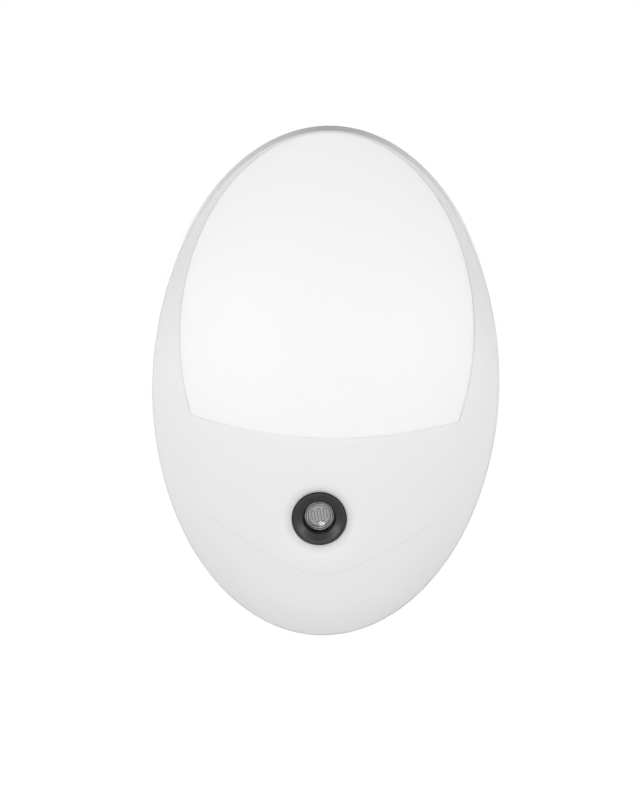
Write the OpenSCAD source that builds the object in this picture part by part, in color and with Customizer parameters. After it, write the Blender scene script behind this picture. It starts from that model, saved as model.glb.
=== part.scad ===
// Plug-in night light with a light sensor.
// An oval two-part housing carries an opal lens let into its domed front,
// a light sensor below the lens and a three-pin plug in its flat back.
// The modules work on the bench: x to the right, y up, z out of the wall.
// upright() then stands the light up: z up, with the lens looking along -y.
// The origin is on the plug face, in the middle of the three pins.

/* [Housing] */
// Width of the oval housing
body_w = 75; // [71:1:90]
// Height of the oval housing
body_h = 109.5; // [105:0.5:125]
// Depth of the rear shell, from the plug face to the parting line
back_depth = 15; // [14:0.5:20]
// Depth of the front shell's straight side wall
side_depth = 11.5; // [10.5:0.5:15]
// Height of the domed front above its rim
crown_h = 9.5; // [8:0.5:11]
// Thickness of both shells' walls
wall_t = 2; // [1.8:0.1:2.4]
// Thickness of the flat plug face
floor_t = 3; // [2.6:0.1:3.4]
// Height of the rounding between the plug face and the sides
back_round = 10.5; // [9:0.5:12]
// Height of the flat plug face
face_h = 88; // [84:1:94]
// Width of the bevel where the dome meets the side wall
rim_bevel = 0.6; // [0.3:0.1:0.9]
// Height of the faint crease in the lower front, below the middle of the housing
crease_drop = 41.9; // [40:0.1:45]
// How far above the housing's middle the flatter lower dome is centred
crease_shift = 4; // [3:0.5:5]
// Height of the tongue that locates the two shells
tongue_h = 1.5; // [1:0.1:2]
// Clearance between pieces that slot together
fit_gap = 0.15; // [0.1:0.05:0.25]

/* [Lens] */
// From the side of the housing to the widest part of the lens
lens_side = 5.7; // [5.5:0.1:8]
// From the top of the housing to the lens
lens_top = 0.4; // [0.4:0.1:2]
// Height of the lens's widest line above the middle of the housing
lens_rise = 10.9; // [9:0.1:13]
// Lowest point of the lens, below the middle of the housing
lens_drop = 11.3; // [9:0.1:13]
// Radius of the lens's lower edge
lens_arc = 108; // [90:1:140]
// Thickness of the lens
lens_t = 1.8; // [1.6:0.1:2.2]
// How far the lens stands above the housing around it
lens_proud = 0.25; // [0.1:0.05:0.5]
// Width of the ledge that the lens rests on
ledge_w = 1.8; // [1.6:0.1:2.2]
// Thickness of that ledge
ledge_t = 1.4; // [1.2:0.1:1.8]
// Thickness of the locating rim behind the lens
spigot_t = 1; // [0.8:0.1:1.2]
// Depth of the locating rim behind the lens
spigot_h = 2.4; // [2:0.1:3]

/* [Light sensor] */
// Sideways place of the sensor
sensor_x = -0.7; // [-2:0.1:2]
// Height of the sensor below the middle of the housing
sensor_drop = 29.1; // [28:0.1:31]
// Diameter of the black bezel
bezel_d = 11.6; // [10.8:0.1:12.6]
// Bore of the bezel
bezel_bore = 7.1; // [7:0.1:7.6]
// Depth of the bezel's sloping face
funnel_h = 0.9; // [0.5:0.1:1.2]
// Depth of the shallow dish around the bezel
dish_h = 0.8; // [0.6:0.1:1]
// Diameter of the shallow dish around the bezel
dish_d = 19; // [17:0.5:22]
// Diameter of the clear window over the photocell
window_d = 6.4; // [6.2:0.1:6.6]
// Depth of the window's face below the bezel's rim
window_sink = 2.9; // [2.5:0.1:3.2]
// Diameter of the photocell
cell_d = 5.1; // [4.9:0.1:5.2]
// Width of the photocell across its two flats
cell_flat = 4.3; // [4:0.1:4.6]
// Distance between the photocell's leads
cell_pitch = 3.4; // [3:0.1:3.6]

/* [Plug] */
// Distance between the live and neutral pins
pin_span = 22.2; // [21:0.1:24]
// Distance from the live and neutral pins up to the shutter pin
pin_rise = 22.2; // [21:0.1:24]
// Width of the live and neutral pins
blade_w = 6.35; // [6:0.05:6.6]
// Height of the live and neutral pins
blade_h = 4; // [3.8:0.05:4.2]
// Length of the live and neutral pins outside the plug face
blade_l = 17.7; // [16:0.1:19]
// Length of the insulating sleeves outside the plug face
sleeve_l = 9; // [8:0.1:10]
// Wall of the insulating sleeves
sleeve_t = 0.8; // [0.6:0.05:0.9]
// Width of the shutter pin
shutter_w = 4; // [3.8:0.05:4.2]
// Height of the shutter pin
shutter_h = 8; // [7.6:0.05:8.2]
// Length of the shutter pin outside the plug face
shutter_l = 22.7; // [21:0.1:24]
// Bevel at the tips of the pins
pin_bevel = 1; // [0.6:0.1:1.2]
// Thickness of the pins' heads inside the plug
head_t = 1.8; // [1.6:0.1:2]
// Width of the rim that each pin's head has round the pin
head_rim = 1.6; // [1.2:0.1:1.8]
// Thickness of the keeper plate over the pins' heads
keeper_t = 2; // [1.6:0.1:2.2]

/* [Screws] */
// Distance between the two housing screws
screw_span = 26; // [25:0.5:29]
// Height of the housing screws below the middle of the housing
screw_drop = 34; // [33:0.5:35]
// Diameter of the housing screws' heads
screw_head_d = 5.6; // [5:0.1:5.8]
// Diameter of the housing screws' shanks
screw_d = 2.9; // [2.6:0.1:3.1]
// Length of the housing screws' shanks
screw_l = 14; // [12:0.5:15]
// Diameter of the small screws' heads
small_head_d = 4.2; // [3.8:0.1:4.4]
// Diameter of the small screws' shanks
small_d = 2; // [1.8:0.1:2.2]

/* [Boards] */
// Thickness of both circuit boards
board_t = 1.6; // [1.2:0.1:1.8]
// From the driver board's back to the parting line
board_drop = 4; // [3.6:0.1:4.4]
// From the parting line to the back of the light-emitting board
lamp_board_rise = 3.4; // [3.2:0.1:4]
// Thickness of the reflector tray
tray_t = 1.2; // [1:0.1:1.5]
// Distance between the columns of emitters
emitter_span = 20; // [16:0.5:24]
// Distance between the rows of emitters
emitter_step = 17; // [15:0.5:18]
// Length of the film capacitor
film_l = 18; // [16:0.5:18]
// Width of the film capacitor
film_w = 7; // [6:0.1:7.5]
// Height of the film capacitor
film_h = 12.5; // [11:0.1:13]
// Diameter of the smoothing capacitor
can_d = 10; // [8:0.1:10.5]
// Height of the smoothing capacitor
can_h = 13; // [11:0.1:13.5]

/* [Hidden] */

white_plastic = "#eeeeec";
opal_plastic = "#fbfbf8";
smooth = 96;
fine = 180;
eps = 0.01;

// The oval and the dome.
half_w = body_w / 2;
half_h = body_h / 2;
rim_z = back_depth + side_depth;
crown_z = rim_z + crown_h;
dome_r = (half_h * half_h + crown_h * crown_h) / (2 * crown_h);
crease_lift = crease_shift * (2 * crease_drop + crease_shift) / (2 * dome_r);
crease_squeeze = 1.033;
function dome_z(x, y) =
    crown_z - dome_r + sqrt(dome_r * dome_r - pow(x * half_h / half_w, 2) - y * y);

// The lens outline.
lens_a = half_w - lens_side;
lens_b = half_h - lens_top - lens_rise;
ledge_reach = 1.6;
seat_gap = 0.1;
lens_back = lens_t - lens_proud;
ledge_back = lens_back + seat_gap + ledge_t;

// Half the depth of the oval that rounds the back and is cut off at the plug face.
back_sag = back_round / sqrt(1 - pow(face_h / body_h, 2));

// Levels inside, measured from the plug face.
head_z = floor_t + head_t;
board_z = back_depth - board_drop;
board_top = board_z + board_t;
lamp_z = back_depth + lamp_board_rise;
lamp_top = lamp_z + board_t;

// The hook at the top that holds the shells together, and its barb.
hook_w = 10;
hook_t = 1.4;
hook_end = board_z + 0.2;
barb_w = 8;
barb_z = hook_end + 0.6;
barb_h = 1.4;
barb_bite = 0.6;
barb_play = fit_gap + 0.1;

// The housing screws and their tubes.
screw_x = screw_span / 2;
recess_d = screw_head_d + 0.8;
tube_wall = 1.4;
seat_t = 2.5;
screw_seat_z = board_z - seat_t;
screw_head_t = 2;
boss_d = screw_d + 4;

// The small screws.
small_head_t = 1.4;
standoff_d = small_d + 4;
standoff_x = 21;
standoff_y = 0;
keeper_screw_x = 8.5;
keeper_screw_y = 1;
keeper_floor = 1.2;
lamp_post_d = small_d + 2.2;
lamp_post_x = half_w - wall_t - lamp_post_d / 2 - 0.8;
post_bore = 4;
screw_rest = 0.5;

// The pins.
blade_x = pin_span / 2;
pin_y = pin_rise / 2;
tab_w = 3;
tab_t = 0.8;
tab_top = board_z - 1.5;

// The sensor's stack, downwards from the dome along its own axis.
sensor_tilt = asin(sensor_drop / dome_r);
dish_r = (dish_d * dish_d / 4 + dish_h * dish_h) / (2 * dish_h);
bezel_face = -(dish_h - pow(bezel_d / 2, 2) / (2 * dish_r));
flange_z = -wall_t - 0.15;
flange_t = 1.2;
flange_d = bezel_d + 2.8;
window_z = bezel_face - window_sink;
window_roof = 0.8;
window_l = 3.1;
window_crown = 0.25;
window_skirt_l = 1.3;
cell_gap = 0.06;
track_t = 0.08;
cell_z = window_z - window_roof - cell_gap - track_t;
cell_t = 2.1;
holder_z = cell_z - cell_t;
holder_l = 3;
bezel_end = holder_z - holder_l;
lead_d = 0.5;

// The boards' outlines.
driver_side = 1;
driver_low = 47;
driver_high = 4;
tray_inset = ledge_w + fit_gap + spigot_t + 0.3;
ear_h = 9;

// The light-emitting diodes.
emitter_w = 3.5;
emitter_h = 2.8;
emitter_t = 1.9;
emitter_gap = 0.3;
emitter_rows = 3;
first_row = lens_rise - emitter_step;
cup_d = emitter_h - 0.6;
cup_depth = 0.6;

// Places and sizes of the parts on the driver board.
film_x = -17;
film_y = -20;
can_x = 16;
can_y = -20;
can_film_t = 0.2;
can_bare = 0.5;
bridge_x = 12;
bridge_y = -6;
bridge_w = 8.5;
bridge_h = 6.5;
bridge_t = 3.2;
bridge_lift = 0.4;
fuse_x = -10;
fuse_y = -4;
fuse_d = 3.2;
fuse_l = 9;
fuse_lift = 1.9;
resistor_d = 2.3;
resistor_l = 6.3;
resistor_lift = 1.5;
resistor_rows = [for (i = [0 : 2]) 4 + i * 3.5 - driver_low];
bent_lead_d = 0.6;
transistor_x = 7.5;
transistor_y = -22;
transistor_d = 4.6;
transistor_lift = 2;
lead_pitch = 2.54;
link_x = 2;
link_y = -4;
link_d = 0.7;

// The wires from the pins to the driver board.
wire_d = 1.6;
wire_side = 1.5;
wire_run = 6;

// Turns the bench frame upright, the lens towards the room.
module upright() {
    rotate([90, 0, 0]) children();
}

// An oval plate of the housing's outline, drawn in on all sides.
module oval(inset, bottom, top) {
    translate([0, 0, bottom])
        linear_extrude(top - bottom)
            scale([half_w - inset, half_h - inset])
                circle(r = 1, $fn = fine);
}

// All that lies under the dome, lowered by drop.
module under_dome(drop) {
    translate([0, 0, crown_z - drop - dome_r])
        scale([half_w / half_h, 1, 1])
            rotate([90, 0, 0])
                sphere(r = dome_r, $fn = 240);
}

// All that lies under the flatter dome that forms the lower front.
module under_lower_dome() {
    translate([0, crease_shift, crown_z + crease_lift - dome_r])
        scale([half_w / half_h / crease_squeeze, 1, 1])
            rotate([90, 0, 0])
                sphere(r = dome_r, $fn = 240);
}

// The lens outline: an oval closed below by a wide arc.
module lens_plan(inset) {
    intersection() {
        translate([0, lens_rise])
            scale([lens_a - inset, lens_b - inset])
                circle(r = 1, $fn = fine);
        translate([0, lens_arc - lens_drop])
            circle(r = lens_arc - inset, $fn = 2 * fine);
    }
}

module lens_prism(inset, bottom = rim_z - 6, top = crown_z + 2) {
    translate([0, 0, bottom])
        linear_extrude(top - bottom)
            lens_plan(inset);
}

module mirrored_x() {
    children();
    mirror([1, 0, 0]) children();
}

// Puts children on the dome at the sensor, along the dome's normal there.
module at_sensor() {
    translate([sensor_x, -sensor_drop, dome_z(0, sensor_drop)])
        rotate([sensor_tilt, 0, 0])
            children();
}

// A pan-head screw with a cross recess: head at the bottom of the shank's seat.
module pan_screw(head_d, head_h, shank_d, shank_l) {
    slot_w = head_d * 0.16;
    difference() {
        union() {
            translate([0, 0, -head_h])
                cylinder(d = head_d, h = head_h, $fn = smooth);
            translate([0, 0, -eps])
                cylinder(d = shank_d, h = shank_l + eps, $fn = smooth);
        }
        for (turn = [0, 90])
            rotate(turn)
                translate([-head_d * 0.3, -slot_w / 2, -head_h - eps])
                    cube([head_d * 0.6, slot_w, head_h * 0.6]);
    }
}

// A round-ended strand through a few points.
module strand(points, d) {
    for (i = [0 : len(points) - 2]) {
        along = points[i + 1] - points[i];
        reach = norm(along);
        translate(points[i])
            rotate([0, acos(along[2] / reach), atan2(along[1], along[0])])
                cylinder(d = d, h = reach, $fn = 48);
    }
    for (i = [1 : 1 : len(points) - 2])
        translate(points[i])
            sphere(d = 1.04 * d, $fn = 48);
}

// ---- Housing ----

module front_outer() {
    cone_h = crown_h + 3;
    intersection() {
        oval(0, back_depth, crown_z + 1);
        under_dome(0);
        under_lower_dome();
        union() {
            oval(-1, back_depth, rim_z - rim_bevel - 1);
            translate([0, 0, rim_z - rim_bevel - 1])
                scale([half_w / half_h, 1, 1])
                    cylinder(h = cone_h, r1 = half_h + 1, r2 = half_h + 1 - cone_h, $fn = fine);
        }
    }
}

// The ledge that the lens rests on, still whole across the opening.
module lens_ledge() {
    difference() {
        intersection() {
            lens_prism(-ledge_reach);
            oval(wall_t / 2, rim_z - 6, crown_z + 1);
            under_dome(lens_back / 2);
        }
        under_dome(ledge_back);
    }
}

// The opening for the lens: a rebate as deep as the lens, and the hole inside its ledge.
module lens_opening() {
    difference() {
        lens_prism(-fit_gap);
        under_dome(lens_back + seat_gap);
    }
    lens_prism(ledge_w);
}

// A tongue at the top that hooks into a pocket in the rear shell.
module hook() {
    outer = wall_t + fit_gap;
    intersection() {
        union() {
            difference() {
                oval(outer, hook_end, rim_z - 5);
                oval(outer + hook_t, hook_end - 1, rim_z);
            }
            difference() {
                oval(wall_t / 2, back_depth + tongue_h + 2 * fit_gap, rim_z - 5);
                oval(outer + hook_t, back_depth, rim_z);
            }
        }
        translate([-hook_w / 2, 0, 0])
            cube([hook_w, half_h, rim_z]);
    }
    intersection() {
        difference() {
            oval(wall_t - barb_bite, barb_z, barb_z + barb_h);
            oval(outer + hook_t / 2, barb_z - 1, barb_z + barb_h + 1);
        }
        translate([-barb_w / 2, 0, 0])
            cube([barb_w, half_h, rim_z]);
    }
}

// The two posts behind the ledge that carry the light-emitting board.
module lamp_posts() {
    mirrored_x()
        intersection() {
            translate([lamp_post_x, lens_rise, lamp_top])
                cylinder(d = lamp_post_d, h = crown_z - lamp_top, $fn = smooth);
            under_dome(wall_t / 2);
        }
}

// The bosses that the housing screws bite into.
module front_bosses() {
    mirrored_x()
        intersection() {
            translate([screw_x, -screw_drop, back_depth + seat_gap])
                cylinder(d = boss_d, h = crown_z - back_depth, $fn = smooth);
            under_dome(wall_t / 2);
        }
}

module front_shell() {
    color(white_plastic) upright() difference() {
        union() {
            difference() {
                front_outer();
                intersection() {
                    oval(wall_t, back_depth - 1, crown_z);
                    under_dome(wall_t);
                }
                oval(wall_t / 2, back_depth - 1, back_depth + tongue_h + fit_gap);
            }
            lens_ledge();
            front_bosses();
            lamp_posts();
            hook();
        }
        lens_opening();
        mirrored_x() {
            translate([screw_x, -screw_drop, back_depth - 1])
                cylinder(d = screw_d + 0.1, h = screw_l + 1, $fn = smooth);
            translate([lamp_post_x, lens_rise, lamp_top - 1])
                cylinder(d = small_d + 0.1, h = post_bore + 1, $fn = smooth);
        }
        at_sensor() {
            translate([0, 0, dish_r - dish_h])
                sphere(r = dish_r, $fn = 240);
            translate([0, 0, -2 * wall_t])
                cylinder(d = bezel_d + 2 * fit_gap, h = 3 * wall_t, $fn = smooth);
        }
    }
}

module diffuser_lens() {
    rim = ledge_w + fit_gap;
    color(opal_plastic) upright() {
        difference() {
            intersection() {
                lens_prism(0);
                under_dome(-lens_proud);
            }
            under_dome(lens_back);
        }
        difference() {
            intersection() {
                lens_prism(rim);
                under_dome(lens_back / 2);
            }
            lens_prism(rim + spigot_t, rim_z - 7);
            under_dome(lens_back + spigot_h);
        }
    }
}

// A bowl drawn in on all sides, rounded towards the wall.
module bowl(inset, top) {
    intersection() {
        translate([0, 0, back_round])
            scale([half_w - inset, half_h - inset, back_sag - inset])
                sphere(r = 1, $fn = 240);
        oval(-1, -1, back_round);
    }
    oval(inset, back_round, top);
}

module pin_hole(w, h, x, y) {
    translate([x - w / 2 - fit_gap, y - h / 2 - fit_gap, -1])
        cube([w + 2 * fit_gap, h + 2 * fit_gap, floor_t + 2]);
}

module rear_shell() {
    color(white_plastic) upright() difference() {
        union() {
            difference() {
                union() {
                    bowl(0, back_depth);
                    oval(wall_t / 2 + fit_gap, back_depth - 2, back_depth + tongue_h);
                }
                intersection() {
                    bowl(wall_t, back_depth + 5);
                    oval(0, floor_t, back_depth + 5);
                }
            }
            mirrored_x() {
                translate([screw_x, -screw_drop, floor_t - 1]) {
                    cylinder(d = recess_d + 2 * tube_wall, h = board_z - floor_t + 1, $fn = smooth);
                    cylinder(d = boss_d, h = back_depth - floor_t + 1, $fn = smooth);
                }
                translate([standoff_x, standoff_y, floor_t - 1])
                    cylinder(d = standoff_d, h = board_z - floor_t + 1, $fn = smooth);
                translate([keeper_screw_x, keeper_screw_y, floor_t - 1])
                    cylinder(d = small_d + 3, h = head_t + 1, $fn = smooth);
            }
        }
        translate([-body_w, -body_h, -5])
            cube([2 * body_w, 2 * body_h, 5]);
        for (side = [-1, 1])
            pin_hole(blade_w, blade_h, side * blade_x, -pin_y);
        pin_hole(shutter_w, shutter_h, 0, pin_y);
        mirrored_x() {
            translate([screw_x, -screw_drop, -1]) {
                cylinder(d = recess_d, h = screw_seat_z + 1, $fn = smooth);
                cylinder(d = screw_d + 0.3, h = back_depth + 2, $fn = smooth);
            }
            translate([standoff_x, standoff_y, floor_t])
                cylinder(d = small_d + 0.1, h = board_z, $fn = smooth);
            translate([keeper_screw_x, keeper_screw_y, keeper_floor])
                cylinder(d = small_d + 0.1, h = board_z, $fn = smooth);
        }
        intersection() {
            difference() {
                oval(wall_t - barb_bite - 0.3, barb_z - barb_play, barb_z + barb_h + barb_play);
                oval(wall_t + 1, barb_z - 1, barb_z + barb_h + 1);
            }
            translate([-barb_w / 2 - barb_play, 0, 0])
                cube([barb_w + 2 * barb_play, half_h, rim_z]);
        }
    }
}

// ---- Light sensor ----

module sensor_bezel() {
    outer = bezel_d / 2;
    inner = bezel_bore / 2;
    tube = outer - 0.9;
    color("#38383a") upright() at_sensor()
        rotate_extrude($fn = fine)
            polygon([
                [inner, bezel_face - funnel_h],
                [outer - 0.3, bezel_face],
                [outer, bezel_face - 0.2],
                [outer, flange_z],
                [flange_d / 2, flange_z],
                [flange_d / 2, flange_z - flange_t],
                [tube, flange_z - flange_t],
                [tube, bezel_end],
                [inner, bezel_end]]);
}

// The clear cap: slightly domed, its skirt round the photocell.
module sensor_window() {
    r = window_d / 2;
    crown = window_crown;
    cap_r = (r * r + crown * crown) / (2 * crown);
    skirt = bezel_bore / 2 - fit_gap / 2;
    pocket = cell_d / 2 + 0.1;
    color("#c9cdd0", 0.5) upright() at_sensor()
        rotate_extrude($fn = fine)
            difference() {
                union() {
                    intersection() {
                        translate([0, window_z + crown - cap_r])
                            circle(r = cap_r, $fn = 4 * fine);
                        translate([0, window_z - window_l])
                            square([r, window_l + crown]);
                    }
                    translate([0, window_z - window_l])
                        square([skirt, window_skirt_l]);
                }
                translate([-1, window_z - window_l - 1])
                    square([pocket + 1, window_l + 1 - window_roof]);
                translate([-cap_r - 1, window_z - 2 * cap_r])
                    square([cap_r + 1, 3 * cap_r]);
            }
}

module photocell() {
    color("#b7a58c") upright() at_sensor()
        intersection() {
            translate([0, 0, holder_z])
                cylinder(d = cell_d, h = cell_t, $fn = smooth);
            translate([-cell_d / 2 - 1, -cell_flat / 2, holder_z - 1])
                cube([cell_d + 2, cell_flat, cell_t + 2]);
        }
}

// The light-sensitive track winds up and down across the cell's face.
module photocell_track() {
    bars = 6;
    step = cell_d * 0.13;
    bar_w = step / 2;
    bar_h = cell_flat * 0.6;
    first = -(bars - 1) / 2 * step;
    color("#6d4a3a") upright() at_sensor() translate([0, 0, cell_z])
        linear_extrude(track_t) {
            for (i = [0 : bars - 1])
                translate([first + i * step - bar_w / 2, -bar_h / 2])
                    square([bar_w, bar_h]);
            for (i = [0 : bars - 2]) {
                side = i % 2 == 0 ? 1 : -1;
                translate([first + i * step - bar_w / 2, side * (bar_h - bar_w) / 2 - bar_w / 2])
                    square([step + bar_w, bar_w]);
            }
        }
}

module photocell_holder() {
    color("#2b2b2d") upright() at_sensor() difference() {
        translate([0, 0, bezel_end])
            cylinder(d = bezel_bore - fit_gap, h = holder_l, $fn = smooth);
        for (side = [-1, 1])
            translate([side * cell_pitch / 2, 0, bezel_end - 1])
                cylinder(d = lead_d + 0.2, h = holder_l + 2, $fn = smooth);
    }
}

module photocell_leads() {
    color("#c6c8ca") upright() intersection() {
        at_sensor()
            for (side = [-1, 1])
                translate([side * cell_pitch / 2, 0, -2 * crown_z])
                    cylinder(d = lead_d, h = 2 * crown_z + holder_z, $fn = smooth);
        oval(0, board_top, crown_z);
    }
}

// ---- Plug ----

// A blade with bevelled tip, standing out of the plug face towards the socket.
module blade(w, h, l) {
    intersection() {
        rotate([90, 0, 0])
            linear_extrude(h, center = true)
                polygon([[-w / 2, head_z], [-w / 2, -l + pin_bevel], [-w / 2 + pin_bevel, -l],
                    [w / 2 - pin_bevel, -l], [w / 2, -l + pin_bevel], [w / 2, head_z]]);
        rotate([90, 0, 90])
            linear_extrude(w, center = true)
                polygon([[-h / 2, head_z], [-h / 2, -l + pin_bevel], [-h / 2 + pin_bevel, -l],
                    [h / 2 - pin_bevel, -l], [h / 2, -l + pin_bevel], [h / 2, head_z]]);
    }
}

module pin_head(w, h) {
    translate([-w / 2 - head_rim, -h / 2 - head_rim, floor_t])
        cube([w + 2 * head_rim, h + 2 * head_rim, head_t]);
}

// A brass pin, waisted where its sleeve sits, with a solder tab behind.
module brass_pin() {
    difference() {
        blade(blade_w, blade_h, blade_l);
        difference() {
            translate([-blade_w, -blade_h, -sleeve_l])
                cube([2 * blade_w, 2 * blade_h, sleeve_l + floor_t]);
            translate([-blade_w / 2 + sleeve_t, -blade_h / 2 + sleeve_t, -sleeve_l - 1])
                cube([blade_w - 2 * sleeve_t, blade_h - 2 * sleeve_t, sleeve_l + floor_t + 2]);
        }
    }
    pin_head(blade_w, blade_h);
    translate([-tab_w / 2, -tab_t / 2, floor_t])
        cube([tab_w, tab_t, tab_top - floor_t]);
}

module live_pin() {
    color("#d8b25a") upright() translate([blade_x, -pin_y, 0]) brass_pin();
}

module neutral_pin() {
    color("#d8b25a") upright() translate([-blade_x, -pin_y, 0]) brass_pin();
}

module pin_sleeves() {
    color("#f0f0ee") upright()
        for (side = [-1, 1])
            translate([side * blade_x, -pin_y, -sleeve_l])
                difference() {
                    translate([-blade_w / 2, -blade_h / 2, 0])
                        cube([blade_w, blade_h, sleeve_l + floor_t]);
                    translate([-blade_w / 2 + sleeve_t, -blade_h / 2 + sleeve_t, -1])
                        cube([blade_w - 2 * sleeve_t, blade_h - 2 * sleeve_t, sleeve_l + floor_t + 2]);
                }
}

module shutter_pin() {
    color("#f0f0ee") upright() translate([0, pin_y, 0]) {
        blade(shutter_w, shutter_h, shutter_l);
        pin_head(shutter_w, shutter_h);
    }
}

// A plate screwed down over the three heads.
module pin_keeper() {
    reach_x = blade_x + blade_w / 2 + head_rim;
    low = -pin_y - blade_h / 2 - head_rim;
    high = pin_y + shutter_h / 2 + head_rim;
    arm = blade_h / 2 + head_rim;
    waist = keeper_screw_x + small_head_d / 2 + 1;
    neck = shutter_w / 2 + head_rim;
    color("#e4e4e0") upright() translate([0, 0, head_z])
        linear_extrude(keeper_t)
            difference() {
                union() {
                    translate([-reach_x, low])
                        square([2 * reach_x, 2 * arm]);
                    translate([-waist, low + arm])
                        square([2 * waist, keeper_screw_y + small_head_d / 2 + 1 - low - arm]);
                    translate([-neck, 0])
                        square([2 * neck, high]);
                }
                mirrored_x() {
                    translate([keeper_screw_x, keeper_screw_y])
                        circle(d = small_d + 0.3, $fn = smooth);
                    translate([blade_x - tab_w / 2 - fit_gap, -pin_y - tab_t / 2 - fit_gap])
                        square([tab_w + 2 * fit_gap, tab_t + 2 * fit_gap]);
                }
            }
}

module keeper_screws() {
    top = head_z + keeper_t;
    color("#b9bcc0") upright()
        mirrored_x()
            translate([keeper_screw_x, keeper_screw_y, top])
                mirror([0, 0, 1])
                    pan_screw(small_head_d, small_head_t, small_d, top - keeper_floor - screw_rest);
}

module housing_screws() {
    color("#b9bcc0") upright()
        mirrored_x()
            translate([screw_x, -screw_drop, screw_seat_z])
                pan_screw(screw_head_d, screw_head_t, screw_d, screw_l);
}

module board_screws() {
    color("#b9bcc0") upright()
        mirrored_x()
            translate([standoff_x, standoff_y, board_top])
                mirror([0, 0, 1])
                    pan_screw(small_head_d, small_head_t, small_d, board_top - floor_t - screw_rest);
}

module lamp_board_screws() {
    color("#b9bcc0") upright()
        mirrored_x()
            translate([lamp_post_x, lens_rise, lamp_z])
                pan_screw(small_head_d, small_head_t, small_d, board_t + post_bore - screw_rest);
}

// ---- Boards and what they carry ----

module driver_board() {
    color("#b8a267") upright() difference() {
        intersection() {
            oval(wall_t + driver_side, board_z, board_top);
            translate([-body_w, -driver_low, 0])
                cube([2 * body_w, driver_low + driver_high, crown_z]);
        }
        mirrored_x() {
            translate([screw_x, -screw_drop, 0])
                cylinder(d = boss_d + 2 * fit_gap, h = crown_z, $fn = smooth);
            translate([standoff_x, standoff_y, 0])
                cylinder(d = small_d + 0.3, h = crown_z, $fn = smooth);
        }
    }
}

module lamp_board() {
    color("#f4f4f2") upright() difference() {
        union() {
            lens_prism(tray_inset, lamp_z, lamp_top);
            intersection() {
                translate([-half_w, lens_rise - ear_h / 2, lamp_z])
                    cube([body_w, ear_h, board_t]);
                oval(wall_t + fit_gap, lamp_z - 1, lamp_top + 1);
            }
        }
        mirrored_x()
            translate([lamp_post_x, lens_rise, 0])
                cylinder(d = small_d + 0.3, h = crown_z, $fn = smooth);
    }
}

module at_emitters() {
    for (row = [0 : emitter_rows - 1])
        for (side = [-1, 1])
            translate([side * emitter_span / 2, first_row + row * emitter_step, lamp_top])
                children();
}

module emitters() {
    color("#f2f2ea") upright() at_emitters() difference() {
        translate([-emitter_w / 2, -emitter_h / 2, 0])
            cube([emitter_w, emitter_h, emitter_t]);
        translate([0, 0, emitter_t - cup_depth])
            cylinder(d = cup_d, h = 2 * cup_depth, $fn = smooth);
    }
}

module emitter_domes() {
    r = cup_d / 2 - 0.05;
    color("#e9d36a") upright() at_emitters()
        translate([0, 0, emitter_t - cup_depth])
            intersection() {
                cylinder(r = r, h = 2 * cup_depth, $fn = smooth);
                translate([0, 0, 1.5 * cup_depth - 2 * r])
                    sphere(r = 2 * r, $fn = smooth);
            }
}

module reflector_tray() {
    color("#f7f7f5") upright() difference() {
        intersection() {
            lens_prism(tray_inset, lamp_top);
            under_dome(lens_back + 0.3);
        }
        lens_prism(tray_inset + tray_t, lamp_top + tray_t);
        at_emitters()
            translate([-emitter_w / 2 - emitter_gap, -emitter_h / 2 - emitter_gap, -1])
                cube([emitter_w + 2 * emitter_gap, emitter_h + 2 * emitter_gap, tray_t + 2]);
    }
}

module film_capacitor() {
    color("#c9a23c") upright()
        translate([film_x - film_w / 2, film_y - film_l / 2, board_top])
            cube([film_w, film_l, film_h]);
}

module smoothing_capacitor() {
    color("#c2c6ca") upright() translate([can_x, can_y, board_top])
        cylinder(d = can_d - 2 * can_film_t, h = can_h, $fn = smooth);
}

module smoothing_capacitor_sleeve() {
    color("#2d3f5e") upright() translate([can_x, can_y, board_top + can_bare])
        difference() {
            cylinder(d = can_d, h = can_h - 2 * can_bare, $fn = smooth);
            translate([0, 0, -1])
                cylinder(d = can_d - 2 * can_film_t, h = can_h + 2, $fn = smooth);
        }
}

module bridge_rectifier() {
    color("#303033") upright() translate([bridge_x, bridge_y, board_top]) {
        translate([-bridge_w / 2, -bridge_h / 2, bridge_lift])
            cube([bridge_w, bridge_h, bridge_t]);
        for (x = [-1, 1])
            for (y = [-1, 1])
                translate([x * bridge_w * 0.3 - 0.5, y * (bridge_h / 2 + 0.2) - 0.25, 0])
                    cube([1, 0.5, bridge_lift + 1.8]);
    }
}

module fusible_resistor() {
    color("#5d8f63") upright() translate([fuse_x, fuse_y, board_top + fuse_lift])
        rotate([0, 90, 0])
            cylinder(d = fuse_d, h = fuse_l, center = true, $fn = smooth);
}

// Small resistors lie in a row between the screw tubes.
module resistors() {
    color("#cdb98e") upright()
        for (y = resistor_rows)
            translate([0, y, board_top + resistor_lift])
                rotate([0, 90, 0])
                    cylinder(d = resistor_d, h = resistor_l, center = true, $fn = smooth);
}

// Leads that leave a lying body at both ends and bend down to the board.
module bent_lead(body_l, rise, reach) {
    mirrored_x() {
        translate([body_l / 2, 0, rise])
            rotate([0, 90, 0])
                cylinder(d = bent_lead_d, h = reach, $fn = 24);
        translate([body_l / 2 + reach, 0, rise])
            sphere(d = bent_lead_d, $fn = 24);
        translate([body_l / 2 + reach, 0, 0])
            cylinder(d = bent_lead_d, h = rise, $fn = 24);
    }
}

module component_leads() {
    color("#c6c8ca") upright() {
        translate([fuse_x, fuse_y, board_top])
            bent_lead(fuse_l, fuse_lift, 1.5);
        for (y = resistor_rows)
            translate([0, y, board_top])
                bent_lead(resistor_l, resistor_lift, 1.2);
    }
}

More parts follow.
